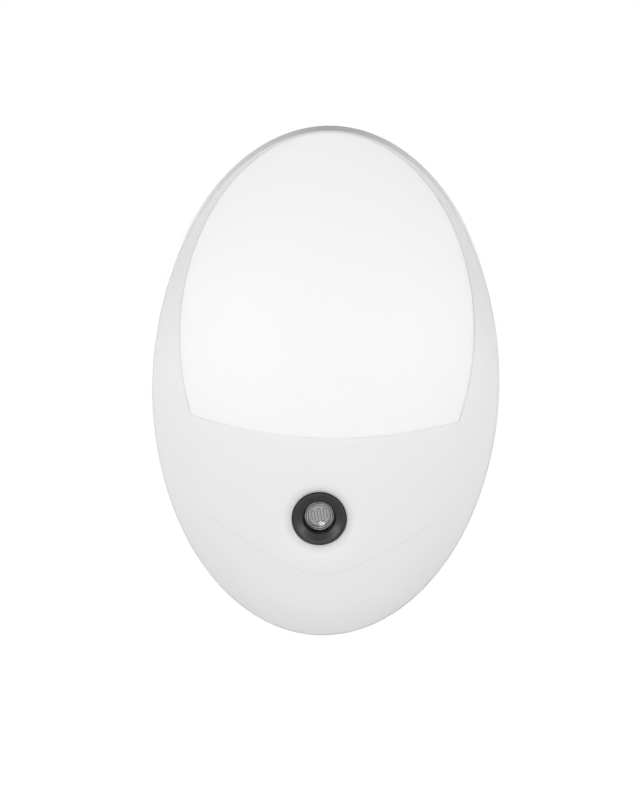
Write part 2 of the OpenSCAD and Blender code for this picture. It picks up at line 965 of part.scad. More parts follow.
module switching_transistor() {
    color("#2c2c2e") upright() translate([transistor_x, transistor_y, board_top]) {
        difference() {
            translate([0, 0, transistor_lift])
                cylinder(d = transistor_d, h = transistor_d, $fn = smooth);
            translate([-transistor_d, transistor_d * 0.28, 1])
                cube([2 * transistor_d, transistor_d, transistor_lift + transistor_d]);
        }
        for (i = [-1, 0, 1])
            translate([i * lead_pitch / 2, 0, 0])
                cylinder(d = lead_d, h = transistor_lift + 0.5, $fn = 24);
    }
}

module board_link_pins() {
    color("#c6c8ca") upright()
        for (i = [0, 1])
            translate([link_x + i * lead_pitch, link_y, board_top])
                cylinder(d = link_d, h = lamp_z - board_top, $fn = 24);
}

// An insulated wire from a pin's solder tab down to the driver board.
module pin_wire() {
    start = blade_x + tab_w / 2 + wire_d / 2;
    bend = tab_top - wire_d / 2;
    strand([
        [start, -pin_y, head_z + keeper_t + 0.1],
        [start, -pin_y, bend],
        [start + wire_side, -pin_y - wire_run, bend],
        [start + wire_side, -pin_y - wire_run, board_z]], wire_d);
}

module live_wire() {
    color("#8a4b2b") upright() pin_wire();
}

module neutral_wire() {
    color("#3d67b1") upright() mirror([1, 0, 0]) pin_wire();
}

front_shell();
diffuser_lens();
rear_shell();
sensor_bezel();
sensor_window();
photocell();
photocell_track();
photocell_holder();
photocell_leads();
live_pin();
neutral_pin();
pin_sleeves();
shutter_pin();
pin_keeper();
keeper_screws();
housing_screws();
board_screws();
lamp_board_screws();
driver_board();
lamp_board();
emitters();
emitter_domes();
reflector_tray();
film_capacitor();
smoothing_capacitor();
smoothing_capacitor_sleeve();
bridge_rectifier();
fusible_resistor();
resistors();
switching_transistor();
component_leads();
board_link_pins();
live_wire();
neutral_wire();
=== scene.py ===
import math

import bmesh
import bpy
from bpy.props import FloatProperty, FloatVectorProperty, PointerProperty
from mathutils import Matrix, Vector


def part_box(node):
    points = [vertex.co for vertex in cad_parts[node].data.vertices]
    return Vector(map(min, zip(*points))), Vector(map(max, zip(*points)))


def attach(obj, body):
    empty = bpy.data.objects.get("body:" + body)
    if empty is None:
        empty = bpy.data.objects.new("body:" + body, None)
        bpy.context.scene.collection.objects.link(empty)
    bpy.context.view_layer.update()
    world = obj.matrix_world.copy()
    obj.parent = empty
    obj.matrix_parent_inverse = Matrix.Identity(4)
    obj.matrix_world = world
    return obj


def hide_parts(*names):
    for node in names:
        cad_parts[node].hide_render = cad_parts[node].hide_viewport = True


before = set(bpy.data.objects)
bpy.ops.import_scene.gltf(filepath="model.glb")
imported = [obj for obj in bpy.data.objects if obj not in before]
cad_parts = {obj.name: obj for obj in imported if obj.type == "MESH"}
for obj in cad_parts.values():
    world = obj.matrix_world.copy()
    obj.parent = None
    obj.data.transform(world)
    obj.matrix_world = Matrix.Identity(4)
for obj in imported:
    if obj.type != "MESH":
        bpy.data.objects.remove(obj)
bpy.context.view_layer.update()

bl_info = {
    "name": "Plug-in night light",
    "version": (1, 0, 0),
    "blender": (4, 5, 0),
    "location": "View3D > Sidebar > Night light",
    "description": "Builds the visible pieces and finishes of an oval plug-in night light",
    "category": "Object",
}

MM = 0.001
FRONT_LOW, FRONT_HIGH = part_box("front_shell")
_, LENS_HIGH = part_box("diffuser_lens")
LIVE_LOW, LIVE_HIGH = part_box("live_pin")
SHUTTER_LOW, SHUTTER_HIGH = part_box("shutter_pin")

# The pins' places: live and neutral to the sides and below the middle, the shutter pin above it.
PIN_SIDE = (LIVE_LOW.x + LIVE_HIGH.x) / 2
PIN_RISE = (SHUTTER_LOW.z + SHUTTER_HIGH.z) / 2
SHUTTER_SIZE = 4 * MM, 8 * MM

# The parting line: the shells' edges are tucked in, and the rear one laps inside the front one.
TUCK = 0.18 * MM
LAP = 1.5 * MM
LAP_PLAY = 0.15 * MM


# ---------------------------------------------------------------- settings

def length(name, description, size):
    """A setting that is a length."""
    return FloatProperty(name=name, description=description, default=size, unit="LENGTH")


def angle_of(name, description, degrees):
    """A setting that is an angle."""
    return FloatProperty(
        name=name, description=description, default=math.radians(degrees), subtype="ANGLE")


def number(name, description, value):
    """A setting without a unit."""
    return FloatProperty(name=name, description=description, default=value)


def tone(name, description, colour):
    """A setting that is a colour."""
    return FloatVectorProperty(
        name=name, description=description, default=colour, subtype="COLOR", min=0, max=1)


class HousingSettings(bpy.types.PropertyGroup):
    """Both shells, and the forms pressed into the front one"""
    width: length("Width", "Width of the oval housing", FRONT_HIGH.x - FRONT_LOW.x)
    height: length("Height", "Height of the oval housing", FRONT_HIGH.z - FRONT_LOW.z)
    back_depth: length("Back depth", "From the plug face to the parting line", 15 * MM)
    side_depth: length("Side depth", "Depth of the front shell's straight side wall", 11.5 * MM)
    crown: length("Crown", "Height of the domed front above its rim", 9.5 * MM)
    wall: length("Wall", "Thickness of both shells' walls", 2 * MM)
    floor: length("Floor", "Thickness of the flat plug face", 3 * MM)
    back_round: length(
        "Back rounding", "Height of the rounding between plug face and sides", 10.5 * MM)
    face_height: length("Plug face height", "Height of the flat plug face", 88 * MM)
    rim: length("Rim rounding", "Rounding between the dome and the side wall", 0.4 * MM)
    shoulder: number(
        "Shoulder", "How much more the front slopes outside the lens, higher up", 0.22)
    roll: length("Lower roll", "How much the front dips at its lower edge", 0.8 * MM)
    roll_reach: length("Roll reach", "Width of the band that dips there", 5 * MM)
    crease_drop: length("Crease drop", "Lowest point of the crease, below the middle", 41.3 * MM)
    crease_slope: number("Crease slope", "How steeply the crease climbs to the sides", 0.64)
    crease_round: length(
        "Crease round", "How widely the crease turns at its lowest point", 7 * MM)
    crease_fold: number("Crease fold", "How much more the front slopes below the crease", 0.025)
    colour: tone("Colour", "Colour of the white plastic", (0.83, 0.832, 0.832))


class LensSettings(bpy.types.PropertyGroup):
    """The opal lens"""
    half_width: length("Half width", "Half the width of the lens", LENS_HIGH.x)
    half_height: length("Half height", "From the lens's widest line to its top", 43.45 * MM)
    rise: length("Rise", "Height of the lens's widest line above the middle", 10.9 * MM)
    drop: length("Drop", "Lowest point of the lens below the middle", 11.3 * MM)
    arc: length("Lower arc", "Radius of the lens's lower edge", 108 * MM)
    thickness: length("Thickness", "Thickness of the lens", 1.8 * MM)
    proud: length("Proud", "How far the lens stands above the housing", 0.15 * MM)
    seam: length("Seam", "Gap between the lens and the housing", 0.01 * MM)
    edge: length("Edge", "Rounding of the lens's edge", 0.12 * MM)
    colour: tone("Colour", "Colour of the opal plastic", (0.91, 0.91, 0.909))


class SensorSettings(bpy.types.PropertyGroup):
    """The light sensor, and the dish round it"""
    side: length("Sideways place", "Sideways place of the sensor", -0.7 * MM)
    drop: length("Drop", "Height of the sensor below the middle", 29.1 * MM)
    bezel: length("Bezel", "Diameter of the black bezel", 11.6 * MM)
    bore: length("Bore", "Bore of the bezel", 7.1 * MM)
    window: length("Window", "Diameter of the clear window", 6.4 * MM)
    sink: length("Sink", "Depth of the window's face below the bezel's rim", 2.9 * MM)
    dish: length("Dish", "Depth of the dish pressed into the housing round the bezel", 0.95 * MM)
    dish_reach: length("Dish reach", "Radius over which the dish fades out", 10.5 * MM)
    lip: length("Lip", "How much deeper the housing dips right at the bezel", 0.22 * MM)
    lip_reach: length("Lip reach", "How far from the bezel that dip fades", 0.9 * MM)


class PlugSettings(bpy.types.PropertyGroup):
    """The pins, their sleeves and the housing screws"""
    pin_width: length("Pin width", "Width of the live and neutral pins", 6.35 * MM)
    pin_height: length("Pin height", "Height of the live and neutral pins", 4 * MM)
    sleeve: length("Sleeve", "Length of the insulating sleeves outside the plug face", 9 * MM)
    sleeve_wall: length("Sleeve wall", "Wall of the insulating sleeves", 0.8 * MM)
    bevel: length("Tip bevel", "Bevel at the tips of the pins", 1 * MM)
    screw_span: length("Screw span", "Distance between the two housing screws", 26 * MM)
    screw_drop: length("Screw drop", "Height of the housing screws below the middle", 34 * MM)
    screw_head: length("Screw head", "Diameter of the housing screws' heads", 5.6 * MM)


class StageSettings(bpy.types.PropertyGroup):
    """The camera and the lights"""
    elevation: angle_of("Elevation", "How far above the object the camera stands", 4.2)
    roll: angle_of("Roll", "How far the object leans to the right in the picture", 1.4)
    distance: length("Distance", "From the camera to the object", 5)
    picture_height: length("Picture height", "Height of the picture at the object", 172.8 * MM)
    soft_light: number("Soft lights", "Power of each soft light in watts", 5.8)
    room_light: number("Room light", "Strength of the light from all round", 0.40)
    catch_light: number(
        "Catch light", "Power in watts of the small light that only gloss shows", 0.5)
    dimmer: number("Dimmer", "How much weaker the room is above and below", 0.86)


# ---------------------------------------------------------------- making shapes

def stand(x, y, z):
    """A point of the bench (x right, y up, z out of the wall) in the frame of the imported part."""
    return Vector((x, -z, y))


def standing_at(x, y, turn=0.0):
    """How a shape made round its own axis stands at a place, turned about that axis."""
    c, s = math.cos(turn), math.sin(turn)
    return lambda px, py, pz: stand(x + (px * c - py * s), y + (px * s + py * c), pz)


def in_mm(*points):
    """Points written in millimetres."""
    return [tuple(part * MM for part in point) for point in points]


def begin():
    """Leaves nothing selected, in object mode."""
    if bpy.context.object and bpy.context.object.mode != "OBJECT":
        bpy.ops.object.mode_set(mode="OBJECT")
    bpy.ops.object.select_all(action="DESELECT")


def take(*pieces):
    """Selects these pieces alone and makes the first one active."""
    begin()
    for piece in pieces:
        piece.select_set(True)
    bpy.context.view_layer.objects.active = pieces[0]


def close_shape():
    """Points the faces outwards and ends the edit mode."""
    bpy.ops.mesh.select_all(action="SELECT")
    bpy.ops.mesh.normals_make_consistent(inside=False)
    bpy.ops.object.mode_set(mode="OBJECT")


def loft(name, rings, ends="capped"):
    """Extrudes a circle's edges from ring to ring. Rings are lists of points of one length.
    The ends are capped, or the last ring is joined to the first."""
    begin()
    bpy.ops.mesh.primitive_circle_add(vertices=len(rings[0]), radius=1 * MM)
    piece = bpy.context.object
    piece.name = piece.data.name = name
    bpy.ops.object.mode_set(mode="EDIT")
    bpy.ops.mesh.select_mode(type="VERT")
    bpy.ops.mesh.select_all(action="SELECT")
    mesh = bmesh.from_edit_mesh(piece.data)
    spoke = mesh.verts.layers.int.new("spoke")
    mesh.verts.layers.int.new("level")
    for vert in mesh.verts:
        vert[spoke] = vert.index
        vert.co = rings[0][vert.index]
    if ends == "capped":
        bpy.ops.mesh.edge_face_add()
        bpy.ops.mesh.select_all(action="SELECT")
    if ends == "joined":
        rings = rings + rings[:1]
    for step, ring in enumerate(rings[1:], 1):
        bpy.ops.mesh.extrude_edges_move()
        mesh = bmesh.from_edit_mesh(piece.data)
        spoke = mesh.verts.layers.int["spoke"]
        level = mesh.verts.layers.int["level"]
        for vert in mesh.verts:
            if vert.select:
                vert.co = ring[vert[spoke]]
                vert[level] = step
    if ends == "capped":
        bpy.ops.mesh.edge_face_add()
    bpy.ops.mesh.select_all(action="SELECT")
    bpy.ops.mesh.remove_doubles(threshold=0.0001 * MM)
    close_shape()
    return piece


def divide(piece, kind, cuts, height, chosen):
    """Divides the chosen edges or faces of the front, and sets the new points' height."""
    take(piece)
    bpy.ops.object.mode_set(mode="EDIT")
    bpy.ops.mesh.select_mode(type=kind)
    bpy.ops.mesh.select_all(action="DESELECT")
    mesh = bmesh.from_edit_mesh(piece.data)
    level = mesh.verts.layers.int["level"]
    old = len(mesh.verts)
    for part in mesh.edges if kind == "EDGE" else mesh.faces:
        if chosen(part, level):
            part.select_set(True)
    mesh.select_flush_mode()
    bpy.ops.mesh.subdivide(number_cuts=cuts)
    mesh = bmesh.from_edit_mesh(piece.data)
    mesh.verts.ensure_lookup_table()
    for vert in mesh.verts[old:]:
        vert.co.y = -height(vert.co.x, vert.co.z)
    close_shape()


def cut(piece, cutter, operation="DIFFERENCE"):
    """Cuts one piece with another, or joins the other to it. The other piece is used up."""
    take(piece)
    bpy.ops.object.modifier_add(type="BOOLEAN")
    modifier = piece.modifiers[-1]
    modifier.object = cutter
    modifier.operation = operation
    modifier.solver = "EXACT"
    bpy.ops.object.modifier_apply(modifier=modifier.name)
    bpy.data.objects.remove(cutter)


def join(pieces, name):
    """Makes like pieces one, under a new name."""
    take(*pieces)
    bpy.ops.object.join()
    pieces[0].name = pieces[0].data.name = name
    return pieces[0]


def corner(first, middle, last, steps=4):
    """Points of a rounded corner from first to last, which would meet at middle."""
    points = []
    for i in range(steps + 1):
        t = i / steps
        points.append(tuple(
            (1 - t) ** 2 * a + 2 * t * (1 - t) * b + t * t * c
            for a, b, c in zip(first, middle, last)))
    return points


def circle(radius, sides):
    """Points round a circle."""
    turns = [math.tau * i / sides for i in range(sides)]
    return [(radius * math.cos(turn), radius * math.sin(turn)) for turn in turns]


def turned(name, profile, place, sides=96, ends="capped"):
    """A turned shape: the profile's (radius, height) points go round an axis, which place sets."""
    rings = [[place(x, y, height) for x, y in circle(radius, sides)] for radius, height in profile]
    return loft(name, rings, ends)


def rounded_box(width, height, radius, level, place, sides=10):
    """One ring with the outline of a box with round corners."""
    points = []
    for quarter in range(4):
        cx = (width / 2 - radius) * (1, -1, -1, 1)[quarter]
        cy = (height / 2 - radius) * (1, 1, -1, -1)[quarter]
        for i in range(sides + 1):
            turn = math.pi / 2 * (quarter + i / sides)
            points.append(place(cx + radius * math.cos(turn), cy + radius * math.sin(turn), level))
    return points


# ---------------------------------------------------------------- outlines of this light

SIDE_POINTS, ARC_POINTS = 272, 208                  # of a ring, over the lens's side and its arc
FOLD_ROUND = 0.012 * MM                             # how softly the front folds at the crease
LARGEST_POWER = 500                                 # of e, which keeps exp from overflowing
SHOULDER_START, SHOULDER_RAMP = 3 * MM, 22 * MM     # where the shoulders set in, above the middle
ROLL_START, ROLL_RAMP = 28 * MM, 22 * MM            # where the roll sets in, below the middle


class Form:
    """The oval, the dome and the lens outline, from the settings."""

    def __init__(self, scene):
        self.housing = scene.nightlight_housing
        self.lens = scene.nightlight_lens
        self.sensor = scene.nightlight_sensor
        crown = self.housing.crown
        self.half_w = self.housing.width / 2
        self.half_h = self.housing.height / 2
        self.crown_y = self.housing.back_depth + self.housing.side_depth + crown
        self.dome_r = (self.half_h ** 2 + crown ** 2) / (2 * crown)
        self.squeeze = self.half_h / self.half_w
        self.tilt = math.asin(self.sensor.drop / self.dome_r)
        self.arc_y = self.lens.arc - self.lens.drop - self.lens.rise
        self.angles = self.ring_angles()

    def ring_angles(self):
        """Angles of a ring's points, from the lens's lower right corner all the way round."""
        low, high = -math.pi / 2, 0.0
        for _ in range(60):
            middle = (low + high) / 2
            if self.arc_reach(middle, 0) < self.side_reach(middle, 0):
                low = middle
            else:
                high = middle
        span = math.pi - 2 * low
        rest = math.tau - span
        return ([low + span * i / SIDE_POINTS for i in range(SIDE_POINTS)]
                + [low + span + rest * i / ARC_POINTS for i in range(ARC_POINTS)])

    def side_reach(self, angle, inset):
        """Reach of the lens's oval side."""
        return 1 / math.hypot(math.cos(angle) / (self.lens.half_width - inset),
                              math.sin(angle) / (self.lens.half_height - inset))

    def arc_reach(self, angle, inset):
        """Reach of the arc that closes the lens below."""
        up = math.sin(angle) * self.arc_y
        return up + math.sqrt(up * up - self.arc_y ** 2 + (self.lens.arc - inset) ** 2)

    def lens_reach(self, angle, inset):
        """Reach of the lens outline, drawn in by inset, from the middle of its widest line."""
        return min(self.side_reach(angle, inset), self.arc_reach(angle, inset))

    def oval_reach(self, angle, inset):
        """Reach of the housing's oval, drawn in by inset, from that same middle."""
        a, b, up = self.half_w - inset, self.half_h - inset, self.lens.rise
        ux, uy = math.cos(angle), math.sin(angle)
        p = (ux / a) ** 2 + (uy / b) ** 2
        q = up * uy / b ** 2
        r = (up / b) ** 2 - 1
        return (-q + math.sqrt(q * q - p * r)) / p

    def dome(self, x, z, drop=0.0):
        """Height of the dome over the plug face, or of one that lies deeper by drop."""
        return self.crown_y - drop - self.dome_r + math.sqrt(
            self.dome_r ** 2 - (x * self.squeeze) ** 2 - z * z)

    def skin(self, x, z):
        """Height of the housing's front: the dome, folded back a little below the crease, with
        the shoulders beside the lens, the roll at the lower edge and the dish round the sensor."""
        h, s = self.housing, self.sensor
        line = h.crease_slope * (math.hypot(x, h.crease_round) - h.crease_round) - h.crease_drop
        power = min(h.crease_fold * (line - z) / FOLD_ROUND, LARGEST_POWER)
        height = self.dome(x, z) - FOLD_ROUND * math.log(1 + math.exp(power))

        up = z - self.lens.rise
        beyond = math.hypot(x, up) - self.lens_reach(math.atan2(up, x), 0)
        high = min(1.0, max(0.0, z - SHOULDER_START) / SHOULDER_RAMP)
        height -= h.shoulder * high * max(0.0, beyond)

        edge = self.half_w * (1 - math.hypot(x / self.half_w, z / self.half_h))
        low = min(1.0, max(0.0, -z - ROLL_START) / ROLL_RAMP)
        height -= h.roll * low * max(0.0, 1 - edge / h.roll_reach) ** 2

        out = math.hypot(x - s.side, (z + s.drop) / math.cos(self.tilt))
        fade = max(0.0, 1 - (out / s.dish_reach) ** 2)
        dip = min(1.0, math.exp((s.bezel / 2 - out) / s.lip_reach))
        return height - s.dish * fade * fade - s.lip * dip

    def spot(self, angle, out):
        """Sideways and upward place of a ring's point."""
        return out * math.cos(angle), self.lens.rise + out * math.sin(angle)

    def plan(self, reach, height):
        """One ring: reach gives how far out it is at an angle, height how high at a place."""
        places = [self.spot(angle, reach(angle)) for angle in self.angles]
        return [Vector((x, -height(x, z), z)) for x, z in places]

    def oval_ring(self, inset, level, share=1.0, sides=320):
        """One level ring of the housing's oval about its own middle."""
        a, b = (self.half_w - inset) * share, (self.half_h - inset) * share
        return [stand(a * x, b * y, level) for x, y in circle(1, sides)]

    def at_sensor(self, x, y, z):
        """A point of the sensor's own frame, z outwards along its axis."""
        base = self.dome(0, self.sensor.drop)
        up = y * math.cos(self.tilt) - z * math.sin(self.tilt)
        out = y * math.sin(self.tilt) + z * math.cos(self.tilt)
        return Vector((self.sensor.side + x, -(base + out), -self.sensor.drop + up))


# ---------------------------------------------------------------- nodes

def wire(tree, socket, value):
    """Links an input to a socket, or writes a plain value on it."""
    if isinstance(value, bpy.types.NodeSocket):
        tree.links.new(value, socket)
    else:
        socket.default_value = value


def feed(tree, node, **values):
    """Fills a node's inputs by name."""
    for name, value in values.items():
        wire(tree, node.inputs[name.replace("_", " ")], value)


def put(tree, kind, *inputs, **values):
    """Adds a node, sets its properties, and fills its inputs in their order or by name."""
    node = tree.nodes.new(kind)
    for name, value in values.items():
        if hasattr(node, name):
            setattr(node, name, value)
        else:
            feed(tree, node, **{name: value})
    for socket, value in zip(node.inputs, inputs):
        wire(tree, socket, value)
    return node


def here(tree):
    """The place on the piece."""
    return put(tree, "ShaderNodeTexCoord").outputs["Object"]


def maths(tree, operation, *values, clamp=False):
    """One step of arithmetic."""
    return put(tree, "ShaderNodeMath", *values, operation=operation, use_clamp=clamp).outputs[0]


def noise(tree, place, scale, detail=3.0, rough=0.5):
    """Cloudy noise between 0 and 1."""
    return put(tree, "ShaderNodeTexNoise", Vector=place, Scale=scale, Detail=detail,
               Roughness=rough).outputs["Fac"]


def ramp(tree, value, start, end, low=0.0, high=1.0, **kind):
    """Goes from low to high while the value goes from start to end, and stays there."""
    return put(tree, "ShaderNodeMapRange", Value=value, From_Min=start, From_Max=end,
               To_Min=low, To_Max=high, **kind).outputs["Result"]


def blend_colour(tree, factor, first, second):
    """Goes from the first colour to the second by factor."""
    node = put(tree, "ShaderNodeMix", data_type="RGBA", Factor=factor)
    ends = {socket.name: socket for socket in node.inputs if socket.type == "RGBA"}
    wire(tree, ends["A"], first)
    wire(tree, ends["B"], second)
    return [socket for socket in node.outputs if socket.type == "RGBA"][0]


def seen_by_camera(tree):
    """1 for what the camera sees, also in gloss and through clear pieces, otherwise 0."""
    rays = put(tree, "ShaderNodeLightPath").outputs
    return maths(tree, "MAXIMUM", rays["Is Camera Ray"],
                 maths(tree, "MAXIMUM", rays["Is Glossy Ray"], rays["Is Transmission Ray"]))


def new_group(name, inputs, outputs):
    """A shader node group. The inputs have defaults: a number, a vector or a colour. Of the
    outputs only one called Colour is a colour. Returns the group, what comes in and its end."""
    group = bpy.data.node_groups.new(name, "ShaderNodeTree")
    for label, default in inputs.items():
        kind = "NodeSocketFloat"
        if isinstance(default, tuple):
            kind = "NodeSocketColor" if len(default) == 4 else "NodeSocketVector"
        socket = group.interface.new_socket(label, in_out="INPUT", socket_type=kind)
        socket.default_value = default
    for label in outputs:
        kind = "NodeSocketColor" if label == "Colour" else "NodeSocketFloat"
        group.interface.new_socket(label, in_out="OUTPUT", socket_type=kind)
    return group, group.nodes.new("NodeGroupInput").outputs, group.nodes.new("NodeGroupOutput")


def moulding_group():
    """Moulded plastic: a fine spark-eroded grain, faint mottling and handling marks."""
    tree, enter, leave = new_group("Moulded surface", {
        "Colour": (0.8, 0.8, 0.8, 1), "Mottle colour": (0.7, 0.7, 0.68, 1), "Mottle": 0.1,
        "Grain": 4000.0, "Roughness": 0.4, "Spread": 0.1}, ("Colour", "Roughness", "Height"))
    place = here(tree)
    broad = noise(tree, place, 55.0, 3.0, 0.6)
    marks = ramp(tree, noise(tree, place, 420.0, 4.0, 0.7), 0.56, 0.74)
    share = maths(tree, "ADD", maths(tree, "MULTIPLY", broad, enter["Mottle"]),
                  maths(tree, "MULTIPLY", marks, enter["Mottle"]), clamp=True)
    swing = maths(tree, "MULTIPLY", maths(tree, "SUBTRACT", broad, 0.5), enter["Spread"])
    lift = maths(tree, "MULTIPLY", marks, maths(tree, "MULTIPLY", enter["Spread"], 0.4))
    feed(tree, leave,
         Colour=blend_colour(tree, share, enter["Colour"], enter["Mottle colour"]),
         Roughness=maths(tree, "ADD", maths(tree, "ADD", enter["Roughness"], swing), lift,
                         clamp=True),
         Height=noise(tree, place, enter["Grain"], 2.0, 0.55))
    return tree


def seam_group():
    """Dust that gathers in a seam: a mask round a plane at one depth, broken up by noise."""
    tree, enter, leave = new_group(
        "Seam dust", {"Depth": 0.0, "Width": 0.0004, "Amount": 0.4}, ("Mask",))
    place = here(tree)
    depth = put(tree, "ShaderNodeSeparateXYZ", Vector=place).outputs["Y"]
    away = maths(tree, "ABSOLUTE", maths(tree, "SUBTRACT", depth, enter["Depth"]))
    near = maths(tree, "SUBTRACT", 1.0, maths(tree, "DIVIDE", away, enter["Width"]), clamp=True)
    broken = ramp(tree, noise(tree, place, 260.0, 4.0), 0.35, 0.65)
    feed(tree, leave, Mask=maths(tree, "MULTIPLY", maths(tree, "MULTIPLY", near, broken),
                                 enter["Amount"], clamp=True))
    return tree


def drawn_group():
    """Metal worn or drawn along one direction: streaks in roughness and height, dull patches."""
    tree, enter, leave = new_group("Drawn metal", {
        "Stretch": (1.0, 0.04, 1.0), "Scale": 5000.0, "Colour": (0.8, 0.8, 0.8, 1),
        "Dull colour": (0.5, 0.5, 0.5, 1), "Roughness": 0.3, "Spread": 0.15},
        ("Colour", "Roughness", "Height"))
    place = here(tree)
    along = put(tree, "ShaderNodeVectorMath", place, enter["Stretch"], operation="MULTIPLY")
    streaks = noise(tree, along.outputs[0], enter["Scale"])
    dull = ramp(tree, noise(tree, place, 300.0, 4.0, 0.65), 0.42, 0.75)
    swing = maths(tree, "MULTIPLY", maths(tree, "SUBTRACT", streaks, 0.5), enter["Spread"])
    plain = maths(tree, "ADD", enter["Roughness"], maths(tree, "MULTIPLY", dull, 0.12))
    feed(tree, leave,
         Colour=blend_colour(tree, dull, enter["Colour"], enter["Dull colour"]),
         Roughness=maths(tree, "ADD", swing, plain, clamp=True),
         Height=streaks)
    return tree


def weave_group():
    """Glass cloth under the resin of a circuit board: crossed fine threads."""
    tree, enter, leave = new_group("Laminate weave", {
        "Colour": (0.6, 0.5, 0.3, 1), "Thread colour": (0.7, 0.6, 0.4, 1), "Pitch": 0.0005},
        ("Colour", "Height"))
    place = here(tree)
    split = put(tree, "ShaderNodeSeparateXYZ", Vector=place).outputs
    waves = []
    for axis in ("X", "Z"):
        turns = maths(tree, "DIVIDE", split[axis], enter["Pitch"])
        waves.append(maths(tree, "SINE", maths(tree, "MULTIPLY", turns, math.tau)))
    crossed = maths(tree, "MULTIPLY", waves[0], waves[1])
    woven = maths(tree, "ADD", maths(tree, "MULTIPLY", crossed, 0.5), 0.5)
    share = maths(tree, "MULTIPLY", woven, noise(tree, place, 180.0), clamp=True)
    feed(tree, leave, Colour=blend_colour(tree, share, enter["Colour"], enter["Thread colour"]),
         Height=woven)
    return tree


def crease_group():
    """The line of the crease in the front: a fine groove, a mask for the painted shade in it, and a
    mask of the front itself, which leaves out the back."""
    tree, enter, leave = new_group("Crease line", {
        "Drop": 0.04, "Slope": 0.64, "Round": 0.007, "Width": 0.0003},
        ("Height", "Mask", "Front"))
    split = put(tree, "ShaderNodeSeparateXYZ", Vector=here(tree)).outputs
    turn = enter["Round"]
    across = maths(tree, "ADD", maths(tree, "MULTIPLY", split["X"], split["X"]),
                   maths(tree, "MULTIPLY", turn, turn))
    climb = maths(tree, "MULTIPLY", maths(tree, "SUBTRACT", maths(tree, "SQRT", across), turn),
                  enter["Slope"])
    away = maths(tree, "SUBTRACT", maths(tree, "ADD", split["Z"], enter["Drop"]), climb)
    share = maths(tree, "DIVIDE", away, enter["Width"])
    square = maths(tree, "MULTIPLY", share, share)
    groove = maths(tree, "EXPONENT", maths(tree, "MULTIPLY", square, -1.0))
    front = ramp(tree, split["Y"], -10 * MM, -14 * MM)
    aside = ramp(tree, maths(tree, "ABSOLUTE", split["X"]), 22 * MM, 31 * MM, 1.0, 0.0)
    mask = maths(tree, "MULTIPLY", maths(tree, "MULTIPLY", groove, front), aside)
    feed(tree, leave, Height=maths(tree, "SUBTRACT", 1.0, mask), Mask=mask, Front=front)
    return tree


# ---------------------------------------------------------------- finishes

GRAIN_DEPTH = 0.01 * MM
CLEAR_PLASTIC = 1.49                        # refraction of the cap's plastic
PAINTED_SHADE_START, PAINTED_SHADE_END = 5.6 * MM, 8.4 * MM   # painted shade in the dish round the bezel, from the sensor's axis
CELL_BARE, CELL_EDGE = 2.15 * MM, 2.3 * MM  # where the cell's metal ends, from that axis
TURNING_AND_REFLECTION_PITCH = 0.42 * MM                   # of the rings turned into the cap's rim, and of the painted reflection rings in its colour
VARNISH = {"Coat_Weight": 0.7, "Coat_Roughness": 0.08}

PLASTICS = {
    "bezel_black": dict(colour=(0.013, 0.013, 0.014), mottle=0.5, grain=6000.0, rough=0.38,
                        spread=0.16, bump=0.3, tint=1.5, Specular_IOR_Level=0.35),
    "cell_track": dict(colour=(0.085, 0.07, 0.075), mottle=0.5, grain=12000.0, rough=0.35,
                       spread=0.2, bump=0.2, tint=1.6, **VARNISH),
    "soft_black": dict(colour=(0.035, 0.035, 0.037), rough=0.6, mottle=0.4, tint=1.5),
    "sleeve_plastic": dict(colour=(0.76, 0.76, 0.74), rough=0.4, mottle=0.2),
    "shutter_plastic": dict(colour=(0.78, 0.78, 0.76), rough=0.36, mottle=0.18),
    "keeper_plastic": dict(colour=(0.66, 0.66, 0.63), rough=0.5, mottle=0.3),
    "emitter_body": dict(colour=(0.82, 0.82, 0.78), rough=0.35, grain=9000.0),
    "phosphor": dict(colour=(0.78, 0.62, 0.12), rough=0.25, mottle=0.4, grain=9000.0),
    "tray_white": dict(colour=(0.86, 0.86, 0.85), rough=0.3, mottle=0.1),
    "film_yellow": dict(colour=(0.62, 0.40, 0.06), rough=0.28, mottle=0.4),
    "can_film": dict(colour=(0.03, 0.05, 0.13), rough=0.22, mottle=0.3),
    "chip_black": dict(colour=(0.03, 0.03, 0.032), rough=0.55, mottle=0.5, tint=1.6),
    "resistor_green": dict(colour=(0.12, 0.28, 0.14), rough=0.3, mottle=0.4),
    "resistor_tan": dict(colour=(0.62, 0.46, 0.26), rough=0.3, mottle=0.4),
    "wire_brown": dict(colour=(0.16, 0.06, 0.025), rough=0.35, mottle=0.3),
    "wire_blue": dict(colour=(0.03, 0.10, 0.36), rough=0.35, mottle=0.3),
}

METALS = {
    "tinned_wire": dict(colour=(0.74, 0.74, 0.75), dull=(0.5, 0.5, 0.5)),
    "pin_brass": dict(colour=(0.78, 0.58, 0.26), dull=(0.66, 0.48, 0.21), rough=0.26),
    "screw_steel": dict(colour=(0.62, 0.63, 0.65), dull=(0.42, 0.43, 0.42), rough=0.3,
                        stretch=(1, 1, 1), scale=4000.0),
    "can_aluminium": dict(colour=(0.78, 0.79, 0.8), dull=(0.6, 0.6, 0.6)),
}

LAMINATES = {
    "driver_laminate": dict(colour=(0.46, 0.34, 0.14), thread=(0.62, 0.5, 0.26)),
    "lamp_laminate": dict(colour=(0.80, 0.80, 0.78), thread=(0.88, 0.88, 0.86)),
}


